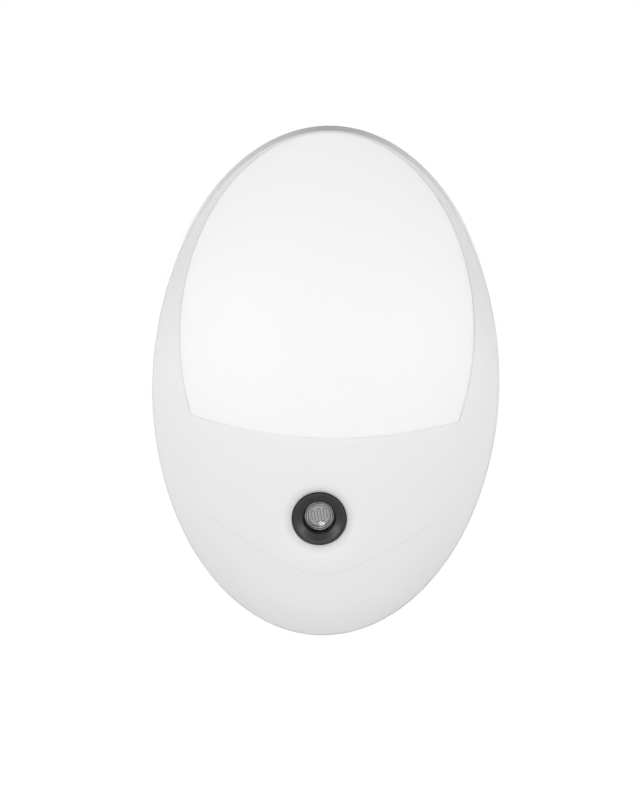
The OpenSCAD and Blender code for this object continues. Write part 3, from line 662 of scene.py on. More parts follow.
class Finishes:
    """The materials, each made when it is first asked for."""

    def __init__(self, scene, form):
        self.scene = scene
        self.form = form
        self.made = {}
        self.groups = {}

    def get(self, name):
        """The material of this name."""
        if name not in self.made:
            for table, make in ((PLASTICS, self.plastic), (METALS, self.metal),
                                (LAMINATES, self.laminate)):
                if name in table:
                    make(name, **table[name])
                    return self.made[name]
            own = {"housing": self.housing, "opal": self.opal, "cell_ceramic": self.cell,
                   "clear_window": self.window, "clear_window_rim": self.window_rim}
            own[name](name)
        return self.made[name]

    def start(self, name):
        """A new material's node tree and its shader."""
        material = bpy.data.materials.new(name)
        material.use_nodes = True
        self.made[name] = material
        return material.node_tree, material.node_tree.nodes["Principled BSDF"]

    def use(self, tree, maker, **values):
        """Places a node group, built on its first use, with this material's own values."""
        if maker not in self.groups:
            self.groups[maker] = maker()
        node = tree.nodes.new("ShaderNodeGroup")
        node.node_tree = self.groups[maker]
        feed(tree, node, **values)
        return node.outputs

    def bump(self, tree, shader, height, strength, distance=GRAIN_DEPTH):
        """Adds a bump to what already bends the shader's normal."""
        node = put(tree, "ShaderNodeBump", Height=height, Strength=strength, Distance=distance)
        if shader.inputs["Normal"].links:
            tree.links.new(shader.inputs["Normal"].links[0].from_socket, node.inputs["Normal"])
        tree.links.new(node.outputs["Normal"], shader.inputs["Normal"])

    def plastic(self, name, colour, mottle=0.1, grain=4500.0, rough=0.42, spread=0.12,
                bump=0.15, tint=0.86, **sockets):
        """Moulded plastic. The mottling is the colour times tint."""
        tree, shader = self.start(name)
        body = self.use(tree, moulding_group, Colour=tuple(colour) + (1,),
                        Mottle_colour=tuple(part * tint for part in colour) + (1,),
                        Mottle=mottle, Grain=grain, Roughness=rough, Spread=spread)
        feed(tree, shader, Base_Color=body["Colour"], Roughness=body["Roughness"], **sockets)
        self.bump(tree, shader, body["Height"], bump)
        return tree, shader, body

    def metal(self, name, colour, dull, rough=0.25, stretch=(1, 0.04, 1), scale=5000.0):
        """Bare metal, a little tarnished."""
        tree, shader = self.start(name)
        body = self.use(tree, drawn_group, Colour=colour + (1,), Dull_colour=dull + (1,),
                        Roughness=rough, Spread=0.15, Stretch=stretch, Scale=scale)
        feed(tree, shader, Base_Color=body["Colour"], Roughness=body["Roughness"], Metallic=1)
        self.bump(tree, shader, body["Height"], 0.1)

    def laminate(self, name, colour, thread):
        """Resin board with its glass cloth."""
        tree, shader = self.start(name)
        body = self.use(tree, weave_group, Colour=colour + (1,), Thread_colour=thread + (1,),
                        Pitch=0.9 * MM)
        feed(tree, shader, Base_Color=body["Colour"], Roughness=0.35, Coat_Weight=0.3)
        self.bump(tree, shader, body["Height"], 0.2)

    def housing(self, name):
        """White plastic with the crease's groove, painted shade in it and in the dish round the
        sensor, and a little dust in the parting line."""
        settings = self.scene.nightlight_housing
        tree, shader, body = self.plastic(
            name, settings.colour, mottle=0.05, grain=5200.0, rough=0.46, spread=0.08, bump=0.10,
            tint=0.95, Specular_IOR_Level=0.4, Subsurface_Weight=0.08,
            Subsurface_Radius=(1, 1, 0.95), Subsurface_Scale=0.4 * MM)
        crease = self.use(tree, crease_group, Drop=settings.crease_drop,
                          Slope=settings.crease_slope, Round=settings.crease_round,
                          Width=0.3 * MM)
        self.bump(tree, shader, crease["Height"], 1.0, 0.012 * MM)
        dust = self.use(tree, seam_group, Depth=-settings.back_depth, Width=0.35 * MM, Amount=0.35)
        # Painted shade: the colour darkens along the crease line, where shade would fall in the
        # fold.
        shade = maths(tree, "MULTIPLY", crease["Mask"], 0.055)
        # Painted shade: the colour darkens in the dish round the bezel, on the front only.
        painted_dish_shade = ramp(tree, self.from_axis(tree), PAINTED_SHADE_START, PAINTED_SHADE_END, 0.34, 0.0,
                    interpolation_type="SMOOTHERSTEP")
        painted_dish_shade = maths(tree, "MULTIPLY", painted_dish_shade, crease["Front"])
        colour = blend_colour(tree, dust["Mask"], body["Colour"], (0.42, 0.40, 0.36, 1))
        colour = blend_colour(tree, shade, colour, (0.25, 0.25, 0.27, 1))
        colour = blend_colour(tree, painted_dish_shade, colour, (0.36, 0.37, 0.34, 1))
        feed(tree, shader, Base_Color=colour)

    def opal(self, name):
        """Opal plastic: light goes a millimetre or so into it."""
        self.plastic(name, self.scene.nightlight_lens.colour, mottle=0.04, grain=3000.0,
                     rough=0.46, spread=0.06, bump=0.04, tint=0.97, Subsurface_Weight=0.25,
                     Subsurface_Radius=(1, 0.98, 0.94), Subsurface_Scale=1 * MM)

    def window(self, name):
        """Clear cap: clean, with a breath of haze in patches."""
        tree, shader = self.start(name)
        haze = noise(tree, here(tree), 900.0)
        tint = ramp(tree, haze, 0.3, 0.8, 0.97, 0.9)
        grey = put(tree, "ShaderNodeCombineColor", Red=tint, Green=tint, Blue=0.95)
        feed(tree, shader, Base_Color=grey.outputs[0], Transmission_Weight=0.93,
             Roughness=ramp(tree, haze, 0.4, 0.75, 0.015, 0.09), IOR=CLEAR_PLASTIC)

    def window_rim(self, name):
        """Frosted edge of the clear cap: faint turning rings in its bump, and painted reflections,
        dark and light rings in its colour.
        """
        tree, shader = self.start(name)
        turns = maths(tree, "MULTIPLY", self.from_axis(tree), math.tau / TURNING_AND_REFLECTION_PITCH)
        rings = maths(tree, "SINE", turns)
        patch = noise(tree, here(tree), 500.0)
        broken = maths(tree, "MULTIPLY", maths(tree, "ADD", rings, 1.1), patch)
        # Painted reflections: dark and light rings in the colour stand in for what the rim
        # reflects.
        colour = blend_colour(tree, ramp(tree, broken, 0.2, 1.1), (0.06, 0.06, 0.065, 1),
                              (0.92, 0.92, 0.94, 1))
        feed(tree, shader, Base_Color=colour, Transmission_Weight=0.3, Roughness=0.22,
             IOR=CLEAR_PLASTIC)
        self.bump(tree, shader, rings, 0.4, 0.02 * MM)

    def cell(self, name):
        """The photocell's varnished face: evaporated metal over ceramic, bare towards its edge."""
        tree, shader, body = self.plastic(
            name, (0.47, 0.42, 0.44), mottle=0.6, grain=9000.0, rough=0.3, spread=0.2, bump=0.25,
            tint=0.7, **VARNISH)
        bare = ramp(tree, self.from_axis(tree), CELL_BARE, CELL_EDGE)
        feed(tree, shader,
             Base_Color=blend_colour(tree, bare, body["Colour"], (0.14, 0.13, 0.13, 1)))

    def from_axis(self, tree):
        """Distance from the sensor's axis."""
        turned_in = put(tree, "ShaderNodeMapping", vector_type="TEXTURE", Vector=here(tree),
                        Location=self.form.at_sensor(0, 0, 0), Rotation=(self.form.tilt, 0, 0))
        split = put(tree, "ShaderNodeSeparateXYZ", Vector=turned_in.outputs["Vector"]).outputs
        flat = put(tree, "ShaderNodeCombineXYZ", X=split["X"], Y=split["Z"])
        return put(tree, "ShaderNodeVectorMath", flat.outputs["Vector"],
                   operation="LENGTH").outputs["Value"]


class Bench:
    """What the operators share while the light is built."""
    form = None
    finishes = None


def finish_piece(piece, slot, node, soft=28):
    """Shades a finished piece smooth up to an angle in degrees, gives it its material and its body,
    and hides the node that it stands for."""
    take(piece)
    bpy.ops.object.shade_smooth_by_angle(angle=math.radians(soft))
    piece.data.materials.clear()
    piece.data.materials.append(Bench.finishes.get(slot))
    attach(piece, "root")
    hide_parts(node)


# ---------------------------------------------------------------- pieces

class NIGHTLIGHT_OT_front_housing(bpy.types.Operator):
    """Domed front shell with its lens opening, crease, dish and sensor hole"""
    bl_idname = "nightlight.front_housing"
    bl_label = "Front housing"

    def execute(self, context):
        f = Bench.form
        piece = self.shell(f)
        hole, flare, dish_floor = f.sensor.bezel / 2 + 0.15 * MM, 0.15 * MM, -0.92 * MM
        profile = [(hole * 0.02, -7 * MM), (hole, -7 * MM)]
        profile += [(hole + out, dish_floor + up)
                    for out, up in corner((0, -flare), (0, 0), (flare, 0))]
        profile += [(hole + 0.6 * MM, dish_floor + 0.5 * MM), (hole * 0.02, dish_floor + 2 * MM)]
        cut(piece, turned("hole_cutter", profile, f.at_sensor, sides=144))
        finish_piece(piece, "housing", "front_shell")
        return {"FINISHED"}

    def shell(self, f):
        """The shell in one loft: from the ledge up the lens opening, over the front, down the
        side, in at the parting line and back along the inside."""
        h, lens = f.housing, f.lens
        lip = 0.03 * MM                                     # rounding of the opening's edge
        seat = lens.thickness - lens.proud + 0.1 * MM       # depth of what the lens rests on
        under = seat + 1.4 * MM                             # depth of the ledge's underside
        ledge_inside, ledge_outside = 1.8 * MM, -1.6 * MM   # from the lens outline

        def at_depth(depth):
            return lambda x, z: f.dome(x, z, depth)

        def opening(inset, height):
            return f.plan(lambda angle: f.lens_reach(angle, inset), height)

        def rounding(angle):
            """Rounding of the rim: less where the lens comes near the edge."""
            strip_width = f.oval_reach(angle, 0) - f.lens_reach(angle, -lens.seam - lip)
            return min(h.rim, 0.85 * strip_width)

        def ledge(angle):
            return min(f.lens_reach(angle, ledge_outside), f.oval_reach(angle, h.wall + 0.02 * MM))

        def near_sensor(face, level):
            middle = face.calc_center_median()
            out = math.hypot(middle.x - f.sensor.side, middle.z + f.sensor.drop)
            return out < 8.6 * MM and abs(middle.y + f.skin(middle.x, middle.z)) < 0.2 * MM

        rings = [opening(ledge_inside, at_depth(under)), opening(ledge_inside, at_depth(seat)),
                 opening(-lens.seam, at_depth(seat))]
        rings += [opening(-lens.seam - out, lambda x, z: f.skin(x, z) - down)
                  for out, down in corner((0, lip), (0, 0), (lip, 0))]
        strip = [len(rings) - 1, len(rings)]
        rings.append(f.plan(lambda angle: f.oval_reach(angle, 0) - rounding(angle), f.skin))
        for inward, downward in corner((1, 0), (0, 0), (0, 1), 6)[1:]:
            ring = []
            for angle in f.angles:
                size = rounding(angle)
                x, z = f.spot(angle, f.oval_reach(angle, 0) - inward * size)
                ring.append(Vector((x, -(f.skin(x, z) - downward * size), z)))
            rings.append(ring)
        step = h.back_depth + LAP + LAP_PLAY
        for inset, depth in ((0, h.back_depth + TUCK), (0.3 * TUCK, h.back_depth + 0.3 * TUCK),
                             (TUCK, h.back_depth), (h.wall / 2, h.back_depth),
                             (h.wall / 2, step), (h.wall, step)):
            rings.append(f.plan(lambda angle: f.oval_reach(angle, inset), lambda x, z: depth))
        for share in (0, 0.2, 0.4, 0.6, 0.8, 1.0):
            rings.append(f.plan(
                lambda angle: f.oval_reach(angle, h.wall) * (1 - share) + ledge(angle) * share,
                at_depth(h.wall)))
        rings.append(f.plan(ledge, at_depth(under)))

        piece = loft("front_housing", rings, "joined")
        divide(piece, "EDGE", 71, f.skin,
               lambda edge, level: sorted(vert[level] for vert in edge.verts) == strip)
        divide(piece, "FACE", 3, f.skin, near_sensor)
        return piece


class NIGHTLIGHT_OT_opal_lens(bpy.types.Operator):
    """Opal lens with rounded edge and its locating rim"""
    bl_idname = "nightlight.opal_lens"
    bl_label = "Opal lens"

    def execute(self, context):
        f = Bench.form
        lens = f.lens
        back = lens.thickness - lens.proud                      # depth of the lens's back
        rim_outside, rim_inside = 1.95 * MM, (1.95 + 1) * MM    # from the lens outline
        rim_end = back + 2.4 * MM

        def ring(inset, level, share=1.0):
            return f.plan(lambda angle: f.lens_reach(angle, inset) * share,
                          lambda x, z: f.dome(x, z, level))

        rings = [ring(lens.edge, -lens.proud, share)
                 for share in [0.004, 0.02, 0.05] + [0.1 + 0.05 * i for i in range(18)]]
        rings += [ring(inset, down - lens.proud)
                  for inset, down in corner((lens.edge, 0), (0, 0), (0, lens.edge), 5)]
        rings += [ring(0, back - 0.1 * MM), ring(0.1 * MM, back), ring(rim_outside, back),
                  ring(rim_outside, rim_end), ring(rim_inside, rim_end), ring(rim_inside, back)]
        rings += [ring(rim_inside, back, share) for share in (0.75, 0.5, 0.25, 0.05, 0.004)]
        finish_piece(loft("opal_lens", rings), "opal", "diffuser_lens")
        return {"FINISHED"}


class NIGHTLIGHT_OT_rear_housing(bpy.types.Operator):
    """Rear shell with its flat plug face, pin holes, screw recesses and tubes"""
    bl_idname = "nightlight.rear_housing"
    bl_label = "Rear housing"

    def execute(self, context):
        f = Bench.form
        plug = context.scene.nightlight_plug
        piece = self.shell(f)

        recess, lip = 3.2 * MM, 0.25 * MM
        tube = in_mm((0.05, 2), (4.6, 2), (4.6, 11), (3.45, 11), (3.45, 14.9), (0.05, 14.9))
        hollow = in_mm((0.05, -1)) + [(recess + lip + 0.5 * MM, -1 * MM)]
        hollow += [(recess + out, up) for out, up in corner((lip, 0), (0, 0), (0, lip))]
        hollow += [(recess, 8.5 * MM)] + in_mm((1.6, 8.5), (1.6, 16), (0.05, 16))
        for side in (-1, 1):
            place = standing_at(side * plug.screw_span / 2, -plug.screw_drop)
            cut(piece, turned("tube", tube, place, 64), "UNION")
            cut(piece, turned("hollow", hollow, place, 64))

        gap = 0.15 * MM
        pin = plug.pin_width, plug.pin_height
        for x, y, (width, height) in ((-PIN_SIDE, -PIN_RISE, pin), (PIN_SIDE, -PIN_RISE, pin),
                                      (0, PIN_RISE, SHUTTER_SIZE)):
            rings = [rounded_box(width + 2 * gap, height + 2 * gap, 0.3 * MM, level,
                                 standing_at(x, y)) for level in (-1 * MM, 4 * MM)]
            cut(piece, loft("pin_hole", rings))
        finish_piece(piece, "housing", "rear_shell")
        return {"FINISHED"}

    def shell(self, f):
        """A bowl: flat plug face, round sides, the lap at its edge, and the same inside."""
        h = f.housing
        sag = h.back_round / math.sqrt(1 - (h.face_height / h.height) ** 2)

        def share_at(inset, level):
            """How wide the bowl is at a level, where its full width is 1."""
            return math.sqrt(1 - ((h.back_round - level) / (sag - inset)) ** 2)

        def bowl(inset, level):
            return f.oval_ring(inset, level, share_at(inset, level))

        face, inner_face = share_at(0, 0), share_at(h.wall, h.floor)
        rings = [f.oval_ring(0, 0, face * share)
                 for share in (0.01, 0.25, 0.5, 0.75, 0.9, 0.97, 0.993)]
        rings.append(f.oval_ring(0, 0.05 * MM, face))
        rings += [bowl(0, h.back_round * (i / 16) ** 1.6) for i in range(4, 17)]
        lap, edge = h.wall / 2 + LAP_PLAY, h.back_depth
        rings += [f.oval_ring(inset, level) for inset, level in (
            (0, edge - TUCK), (0.3 * TUCK, edge - 0.3 * TUCK), (TUCK, edge), (lap, edge),
            (lap, edge + LAP - LAP_PLAY), (lap + LAP_PLAY, edge + LAP), (h.wall, edge + LAP),
            (h.wall, h.back_round))]
        rings += [bowl(h.wall, h.floor + (h.back_round - h.floor) * (1 - i / 8) ** 1.5)
                  for i in range(1, 8)]
        rings += [f.oval_ring(h.wall, h.floor, inner_face * share)
                  for share in (0.999, 0.7, 0.4, 0.01)]
        return loft("rear_housing", rings)


class NIGHTLIGHT_OT_light_sensor(bpy.types.Operator):
    """Black bezel, clear cap, photocell and its winding track"""
    bl_idname = "nightlight.light_sensor"
    bl_label = "Light sensor"

    def execute(self, context):
        f = Bench.form
        face = -0.504 * MM                              # the bezel's rim, along the axis
        roof = face - f.sensor.sink
        cell_top = roof - (0.8 + 0.06 + 0.08) * MM      # under the cap's wall, air and film
        cell_low = cell_top - 2.1 * MM
        self.bezel(f, face, cell_low - 3 * MM)
        self.cap(f, roof)
        self.cell(f, cell_top, cell_low)
        self.track(f, cell_top)
        return {"FINISHED"}

    def bezel(self, f, face, end):
        """Ring whose face slopes down to its bore, with a flange that holds it from inside."""
        outer, inner, funnel = f.sensor.bezel / 2, f.sensor.bore / 2, 0.9 * MM
        flange, flange_end, tube = -2.15 * MM, (-2.15 - 1.2) * MM, outer - 0.9 * MM
        profile = corner((inner, face - funnel - 0.25 * MM), (inner, face - funnel),
                         (inner + 0.25 * MM, face - funnel + 0.1 * MM))
        profile += [(inner + 0.9 * MM, face - funnel * 0.52),
                    (outer - 0.9 * MM, face - funnel * 0.2)]
        profile += corner((outer - 0.45 * MM, face - 0.06 * MM),
                          (outer - 0.02 * MM, face + 0.02 * MM), (outer, face - 0.35 * MM))
        profile += [(outer, flange), (outer + 1.4 * MM, flange), (outer + 1.4 * MM, flange_end),
                    (tube, flange_end), (tube, end), (inner, end)]
        finish_piece(turned("bezel_ring", profile, f.at_sensor, 144, "joined"),
                     "bezel_black", "sensor_bezel")

    def cap(self, f, roof):
        """Cap with a faintly domed face, a skirt below it and a frosted rim."""
        r, crown, skirt = f.sensor.window / 2, 0.25 * MM, f.sensor.bore / 2 - 0.075 * MM
        inside = 2.45 * MM
        ball = (r * r + crown * crown) / (2 * crown)
        profile = []
        for i in range(11):
            out = max(r * 0.93 * i / 10, 0.02 * MM)
            profile.append((out, roof + crown - ball + math.sqrt(ball * ball - out * out)))
        profile += corner(profile[-1], (r, roof + 0.02 * MM), (r, roof - 0.2 * MM))[1:]
        profile += [(r, roof - 1.8 * MM), (skirt, roof - 1.8 * MM), (skirt, roof - 3.1 * MM),
                    (2.65 * MM, roof - 3.1 * MM), (2.65 * MM, roof - 1.0 * MM),
                    (inside, roof - 0.8 * MM), (0.02 * MM, roof - 0.8 * MM)]
        window = turned("clear_cap", profile, f.at_sensor, 96)
        finish_piece(window, "clear_window", "sensor_window")
        window.data.materials.append(Bench.finishes.get("clear_window_rim"))
        middle = f.at_sensor(0, 0, 0)
        along = (f.at_sensor(0, 0, 1) - middle).normalized()
        for face in window.data.polygons:
            away = face.center - middle
            if (away - along * away.dot(along)).length > inside:
                face.material_index = 1

    def cell(self, f, top, low):
        """Round ceramic body with two flats."""
        radius, flat = 2.55 * MM, 2.15 * MM

        def ring(inset, level):
            half = flat - inset
            return [f.at_sensor(x, max(-half, min(half, y)), level)
                    for x, y in circle(radius - inset, 96)]

        edge = 0.15 * MM
        rings = [ring(edge, low), ring(0, low + edge), ring(0, top - 0.2 * MM)]
        rings += [ring(inset, top - down)
                  for inset, down in corner((0, 0.2 * MM), (0, 0), (0.2 * MM, 0))]
        finish_piece(loft("photocell_body", rings), "cell_ceramic", "photocell")

    def track(self, f, level):
        """One band of film that winds up and down between the electrodes."""
        columns, step, half, width, thick = 6, 0.64 * MM, 1.2 * MM, 0.13 * MM, 0.08 * MM
        reach, lean, bend = 2.35 * MM, 0.2, step / 2
        path = []
        for i in range(columns):
            x = (i - (columns - 1) / 2) * step
            way = 1 if i % 2 == 0 else -1
            tall = half * math.sqrt(max(0.0, 1 - (x / reach) ** 2)) + 0.25 * MM
            straight = tall - bend
            path += [(x, -way * straight), (x, way * straight)]
            if i < columns - 1:
                for k in range(1, 8):
                    turn = math.pi * k / 8
                    path.append((x + bend - bend * math.cos(turn),
                                 way * (straight + bend * math.sin(turn))))
        c, s = math.cos(lean), math.sin(lean)
        path = [(x * c - y * s, x * s + y * c) for x, y in path]
        rings = []
        for i, (x, y) in enumerate(path):
            before, after = path[max(i - 1, 0)], path[min(i + 1, len(path) - 1)]
            along = Vector((after[0] - before[0], after[1] - before[1])).normalized()
            across = Vector((-along.y, along.x)) * width
            rings.append([
                f.at_sensor(x + across.x * side, y + across.y * side, level + up * thick)
                for side, up in ((-1, 0), (-1, 0.6), (-0.7, 1), (0.7, 1), (1, 0.6), (1, 0))])
        finish_piece(loft("photocell_film", rings), "cell_track", "photocell_track", 40)


class NIGHTLIGHT_OT_plug_pins(bpy.types.Operator):
    """Sleeved brass pins and the plastic shutter pin"""
    bl_idname = "nightlight.plug_pins"
    bl_label = "Plug pins"

    corner_radius = 0.35 * MM
    head_edge = -1.6 * MM           # how far the heads stand out, as a negative inset
    head_thickness = 1.8 * MM

    def execute(self, context):
        plug = context.scene.nightlight_plug
        pin, thin, neck = (plug.pin_width, plug.pin_height), plug.sleeve_wall, -plug.sleeve
        head, edge, soft = Bench.form.housing.floor, 0.06 * MM, 0.15 * MM
        places = [standing_at(PIN_SIDE, -PIN_RISE), standing_at(-PIN_SIDE, -PIN_RISE)]

        blades = ("live_blade", "live_pin"), ("neutral_blade", "neutral_pin")
        for (name, node), place in zip(blades, places):
            rings = self.tip(pin, plug.bevel, 0.5, 0.35, -LIVE_HIGH.y, place)
            rings += [self.ring(pin, 0, self.corner_radius, neck - edge, place),
                      self.ring(pin, edge, 0.3 * MM, neck, place),
                      self.ring(pin, thin, 0.2 * MM, neck, place),
                      self.ring(pin, thin, 0.2 * MM, head, place)]
            rings += self.head(pin, head, place)
            rings += [rounded_box(3 * MM, 0.8 * MM, 0.1 * MM, level, place)
                      for level in (head + self.head_thickness, -LIVE_LOW.y)]
            finish_piece(loft(name, rings), "pin_brass", node, 25)

        sleeves = []
        for place in places:
            rings = [self.ring(pin, thin, 0.2 * MM, level, place) for level in (head, neck)]
            rings += [self.ring(pin, inset, self.corner_radius, neck + up, place)
                      for inset, up in corner((soft, 0), (0, 0), (0, soft))]
            rings.append(self.ring(pin, 0, self.corner_radius, head, place))
            sleeves.append(loft("sleeve", rings, "joined"))
        finish_piece(join(sleeves, "blade_sleeves"), "sleeve_plastic", "pin_sleeves", 25)

        place = standing_at(0, PIN_RISE)
        rings = self.tip(SHUTTER_SIZE, plug.bevel, 0.4, 0.3, -SHUTTER_HIGH.y, place)
        rings.append(self.ring(SHUTTER_SIZE, 0, self.corner_radius, head, place))
        rings += self.head(SHUTTER_SIZE, head, place)
        finish_piece(loft("shutter_blade", rings), "shutter_plastic", "shutter_pin", 25)
        return {"FINISHED"}

    def ring(self, size, inset, radius, level, place):
        """One ring of a pin, drawn in by inset."""
        return rounded_box(size[0] - 2 * inset, size[1] - 2 * inset, radius, level, place)

    def tip(self, size, bevel, inward, upward, level, place):
        """The bevelled tip. Inward and upward say how round it is, as shares of the bevel."""
        points = corner((bevel, 0), (inward * bevel, upward * bevel), (0, bevel * 1.1), 5)
        return [self.ring(size, inset, self.corner_radius, level + up, place)
                for inset, up in points]

    def head(self, size, level, place):
        """The wider head inside the rear shell, which keeps the pin from pulling out."""
        return [self.ring(size, self.head_edge, 0.3 * MM, level + up, place)
                for up in (0, self.head_thickness)]


class NIGHTLIGHT_OT_housing_screws(bpy.types.Operator):
    """Two pan-head screws with cross recesses, deep in the rear shell"""
    bl_idname = "nightlight.housing_screws"
    bl_label = "Housing screws"

    def execute(self, context):
        plug = context.scene.nightlight_plug
        screws = [self.screw(plug.screw_head / 2, side * plug.screw_span / 2, -plug.screw_drop)
                  for side in (-1, 1)]
        finish_piece(join(screws, "case_screws"), "screw_steel", "housing_screws")
        return {"FINISHED"}

    def screw(self, radius, x, y):
        """One screw with its thread's ridges, and its cross cut by two tapered wedges."""
        seat, shank, groove = 8.5 * MM, 1.45 * MM, (1.45 - 0.25) * MM
        top = seat - 2 * MM
        profile = [(0.02 * MM, top), (0.45 * radius, top + 0.05 * MM)]
        profile += corner((0.7 * radius, top + 0.15 * MM), (0.98 * radius, top + 0.3 * MM),
                          (radius, top + 1.2 * MM))
        profile += [(radius, seat), (shank, seat)]
        for i in range(9):
            level = seat + 1 * MM + i * 1.4 * MM
            profile += [(groove, level), (shank, level + 0.5 * MM), (groove, level + 1.0 * MM)]
        profile += [(0.02 * MM, seat + 14 * MM)]
        screw = turned("screw", profile, standing_at(x, y), 64)
        for turn in (0.35, 0.35 + math.pi / 2):
            place = standing_at(x, y, turn)
            slot = [rounded_box(wide * radius, thick * radius, rounding, top + down, place, 3)
                    for wide, thick, rounding, down in (
                        (0.95, 0.26, 0.1 * MM, -0.5 * MM), (0.95, 0.26, 0.1 * MM, 0.2 * MM),
                        (0.5, 0.12, 0.05 * MM, 1.3 * MM))]
            cut(screw, loft("slot", slot))
        return screw


class NIGHTLIGHT_OT_inner_parts(bpy.types.Operator):
    """Finishes of the parts inside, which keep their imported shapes"""
    bl_idname = "nightlight.inner_parts"
    bl_label = "Inner parts"

    def execute(self, context):
        finishes = {
            "photocell_holder": "soft_black", "photocell_leads": "tinned_wire",
            "pin_keeper": "keeper_plastic", "keeper_screws": "screw_steel",
            "board_screws": "screw_steel", "lamp_board_screws": "screw_steel",
            "driver_board": "driver_laminate", "lamp_board": "lamp_laminate",
            "emitters": "emitter_body", "emitter_domes": "phosphor", "reflector_tray": "tray_white",
            "film_capacitor": "film_yellow", "smoothing_capacitor": "can_aluminium",
            "smoothing_capacitor_sleeve": "can_film", "bridge_rectifier": "chip_black",
            "fusible_resistor": "resistor_green", "resistors": "resistor_tan",
            "switching_transistor": "chip_black", "component_leads": "tinned_wire",
            "board_link_pins": "tinned_wire",
            "live_wire": "wire_brown", "neutral_wire": "wire_blue",
        }
        for name, slot in finishes.items():
            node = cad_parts[name]
            node.data.materials.clear()
            node.data.materials.append(Bench.finishes.get(slot))
        return {"FINISHED"}


# ---------------------------------------------------------------- stage

LOOK = Vector((0, -26 * MM, 0))             # what the lights point at
ANCHOR = Vector((0, -26.5 * MM, 0))         # what stands just beside the picture's middle
PIXELS_HIGH = 800
SHIFT_RIGHT, SHIFT_UP = 5.8, 16.8           # from the picture's middle to the anchor, in pixels
SENSOR = 32                                 # the camera's, in millimetres
LIGHT_HEIGHT = 0.065
SOFT_LIGHTS = (                             # sideways place, depth, share of the power
    ("left_light", -0.78, -0.95, 1.15), ("front_light", 0, -1.23, 0.35),
    ("right_light", 0.78, -0.95, 1.03), ("left_back_light", -0.80, 0.93, 0.85),
    ("right_back_light", 0.80, 0.93, 0.85))
FLOOR_SIZE, FLOOR_DROP = 60, 2.6
FLOOR_GLOW = 0.86                           # what its own grey lacks to white


class NIGHTLIGHT_OT_stage(bpy.types.Operator):
    """Pale floor far below, white surroundings, soft lights and the camera"""
    bl_idname = "nightlight.stage"
    bl_label = "Stage"

    def execute(self, context):
        scene = context.scene
        stage = scene.nightlight_stage
        scene.view_settings.view_transform = "Standard"
        self.camera(scene, stage)
        self.room(scene, stage)
        self.floor()
        for name, x, y, share in SOFT_LIGHTS:
            light = self.softbox(name, (x, y, LIGHT_HEIGHT), 0.8, 0.2, stage.soft_light * share)
            light.visible_camera = False
        catch = self.softbox("catch_light", (0.07, -0.98, -0.70), 0.12, 0.12, stage.catch_light)
        catch.visible_camera = catch.visible_diffuse = False
        return {"FINISHED"}

    def camera(self, scene, stage):
        """A long lens a little above the light, which leans to the right in the picture."""
        pixel = stage.picture_height / PIXELS_HIGH
        back = Vector((0, -math.cos(stage.elevation), math.sin(stage.elevation)))
        level = Vector((1, 0, 0))
        upright = back.cross(level)
        right = level * math.cos(stage.roll) + upright * math.sin(stage.roll)
        up = upright * math.cos(stage.roll) - level * math.sin(stage.roll)
        middle = ANCHOR - right * (SHIFT_RIGHT * pixel) - up * (SHIFT_UP * pixel)
        begin()
        bpy.ops.object.camera_add(location=middle + back * stage.distance)
        camera = bpy.context.object
        camera.name = "picture_camera"
        camera.rotation_euler = Matrix((right, up, back)).transposed().to_euler()
        camera.data.sensor_fit = "VERTICAL"
        camera.data.sensor_height = SENSOR
        camera.data.lens = SENSOR * stage.distance / stage.picture_height
        camera.data.clip_start = 0.05
        scene.camera = camera

    def softbox(self, name, spot, wide, tall, power):
        """One soft light that points at the object."""
        begin()
        bpy.ops.object.light_add(type="AREA", location=spot)
        light = bpy.context.object
        light.name = name
        light.data.shape = "RECTANGLE"
        light.data.size, light.data.size_y = wide, tall
        light.data.energy = power
        light.rotation_euler = (Vector(spot) - LOOK).to_track_quat("Z", "Y").to_euler()
        return light

    def room(self, scene, stage):
        """Light from all round, weaker above and below. The camera sees plain white."""
        world = bpy.data.worlds.new("white_room")
        scene.world = world
        world.use_nodes = True
        tree = world.node_tree
        tree.nodes.clear()
        way = put(tree, "ShaderNodeSeparateXYZ",
                  Vector=put(tree, "ShaderNodeTexCoord").outputs["Generated"])
        dimmed = maths(tree, "MULTIPLY", maths(tree, "ABSOLUTE", way.outputs["Z"]), stage.dimmer)
        level = maths(tree, "MULTIPLY", maths(tree, "SUBTRACT", 1.0, dimmed), stage.room_light)
        lit = put(tree, "ShaderNodeBackground", Color=(1, 1, 1, 1), Strength=level)
        seen = put(tree, "ShaderNodeBackground", Color=(1, 1, 1, 1), Strength=1.0)
        mix = put(tree, "ShaderNodeMixShader", seen_by_camera(tree), lit.outputs[0],
                  seen.outputs[0])
        put(tree, "ShaderNodeOutputWorld", mix.outputs[0])

    def floor(self):
        """A pale floor that the camera sees as white."""
        begin()
        bpy.ops.mesh.primitive_plane_add(size=FLOOR_SIZE, location=(0, 0, -FLOOR_DROP))
        floor = bpy.context.object
        floor.name = floor.data.name = "pale_floor"
        material = bpy.data.materials.new("pale_floor")
        material.use_nodes = True
        tree = material.node_tree
        shade = ramp(tree, noise(tree, here(tree), 3.0, 2.0), 0.0, 1.0, 0.88, 0.92)
        grey = put(tree, "ShaderNodeCombineColor", Red=shade, Green=shade, Blue=shade)
        feed(tree, tree.nodes["Principled BSDF"], Base_Color=grey.outputs[0], Roughness=0.8,
             Emission_Color=(1, 1, 1, 1),
             Emission_Strength=maths(tree, "MULTIPLY", seen_by_camera(tree), FLOOR_GLOW))
        floor.data.materials.append(material)


# ---------------------------------------------------------------- add-on

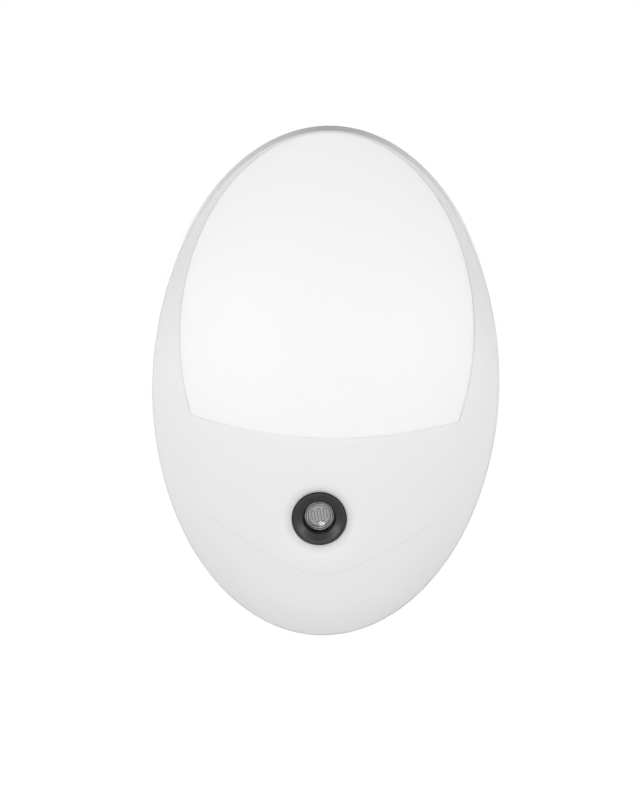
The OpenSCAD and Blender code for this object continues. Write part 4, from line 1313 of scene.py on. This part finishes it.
class NIGHTLIGHT_PT_panel(bpy.types.Panel):
    """Lists the steps that build the night light, with their settings"""
    bl_idname = "NIGHTLIGHT_PT_panel"
    bl_label = "Night light"
    bl_space_type = "VIEW_3D"
    bl_region_type = "UI"
    bl_category = "Night light"

    def draw(self, context):
        scene = context.scene
        for operator in OPERATORS:
            self.layout.operator(operator.bl_idname)
        for label, group in SETTINGS.items():
            box = self.layout.box()
            settings = getattr(scene, label)
            for name in group.__annotations__:
                box.prop(settings, name)


OPERATORS = (
    NIGHTLIGHT_OT_stage,
    NIGHTLIGHT_OT_front_housing,
    NIGHTLIGHT_OT_opal_lens,
    NIGHTLIGHT_OT_rear_housing,
    NIGHTLIGHT_OT_light_sensor,
    NIGHTLIGHT_OT_plug_pins,
    NIGHTLIGHT_OT_housing_screws,
    NIGHTLIGHT_OT_inner_parts,
)

SETTINGS = {
    "nightlight_housing": HousingSettings,
    "nightlight_lens": LensSettings,
    "nightlight_sensor": SensorSettings,
    "nightlight_plug": PlugSettings,
    "nightlight_stage": StageSettings,
}


def register():
    for label, group in SETTINGS.items():
        bpy.utils.register_class(group)
        setattr(bpy.types.Scene, label, PointerProperty(type=group))
    for operator in OPERATORS:
        bpy.utils.register_class(operator)
    bpy.utils.register_class(NIGHTLIGHT_PT_panel)


def unregister():
    bpy.utils.unregister_class(NIGHTLIGHT_PT_panel)
    for operator in reversed(OPERATORS):
        bpy.utils.unregister_class(operator)
    for label, group in SETTINGS.items():
        delattr(bpy.types.Scene, label)
        bpy.utils.unregister_class(group)


def main():
    register()
    scene = bpy.context.scene
    Bench.form = Form(scene)
    Bench.finishes = Finishes(scene, Bench.form)
    bpy.ops.nightlight.stage()
    bpy.ops.nightlight.front_housing()
    bpy.ops.nightlight.opal_lens()
    bpy.ops.nightlight.rear_housing()
    bpy.ops.nightlight.light_sensor()
    bpy.ops.nightlight.plug_pins()
    bpy.ops.nightlight.housing_screws()
    bpy.ops.nightlight.inner_parts()
    begin()


if __name__ == "__main__":
    main()
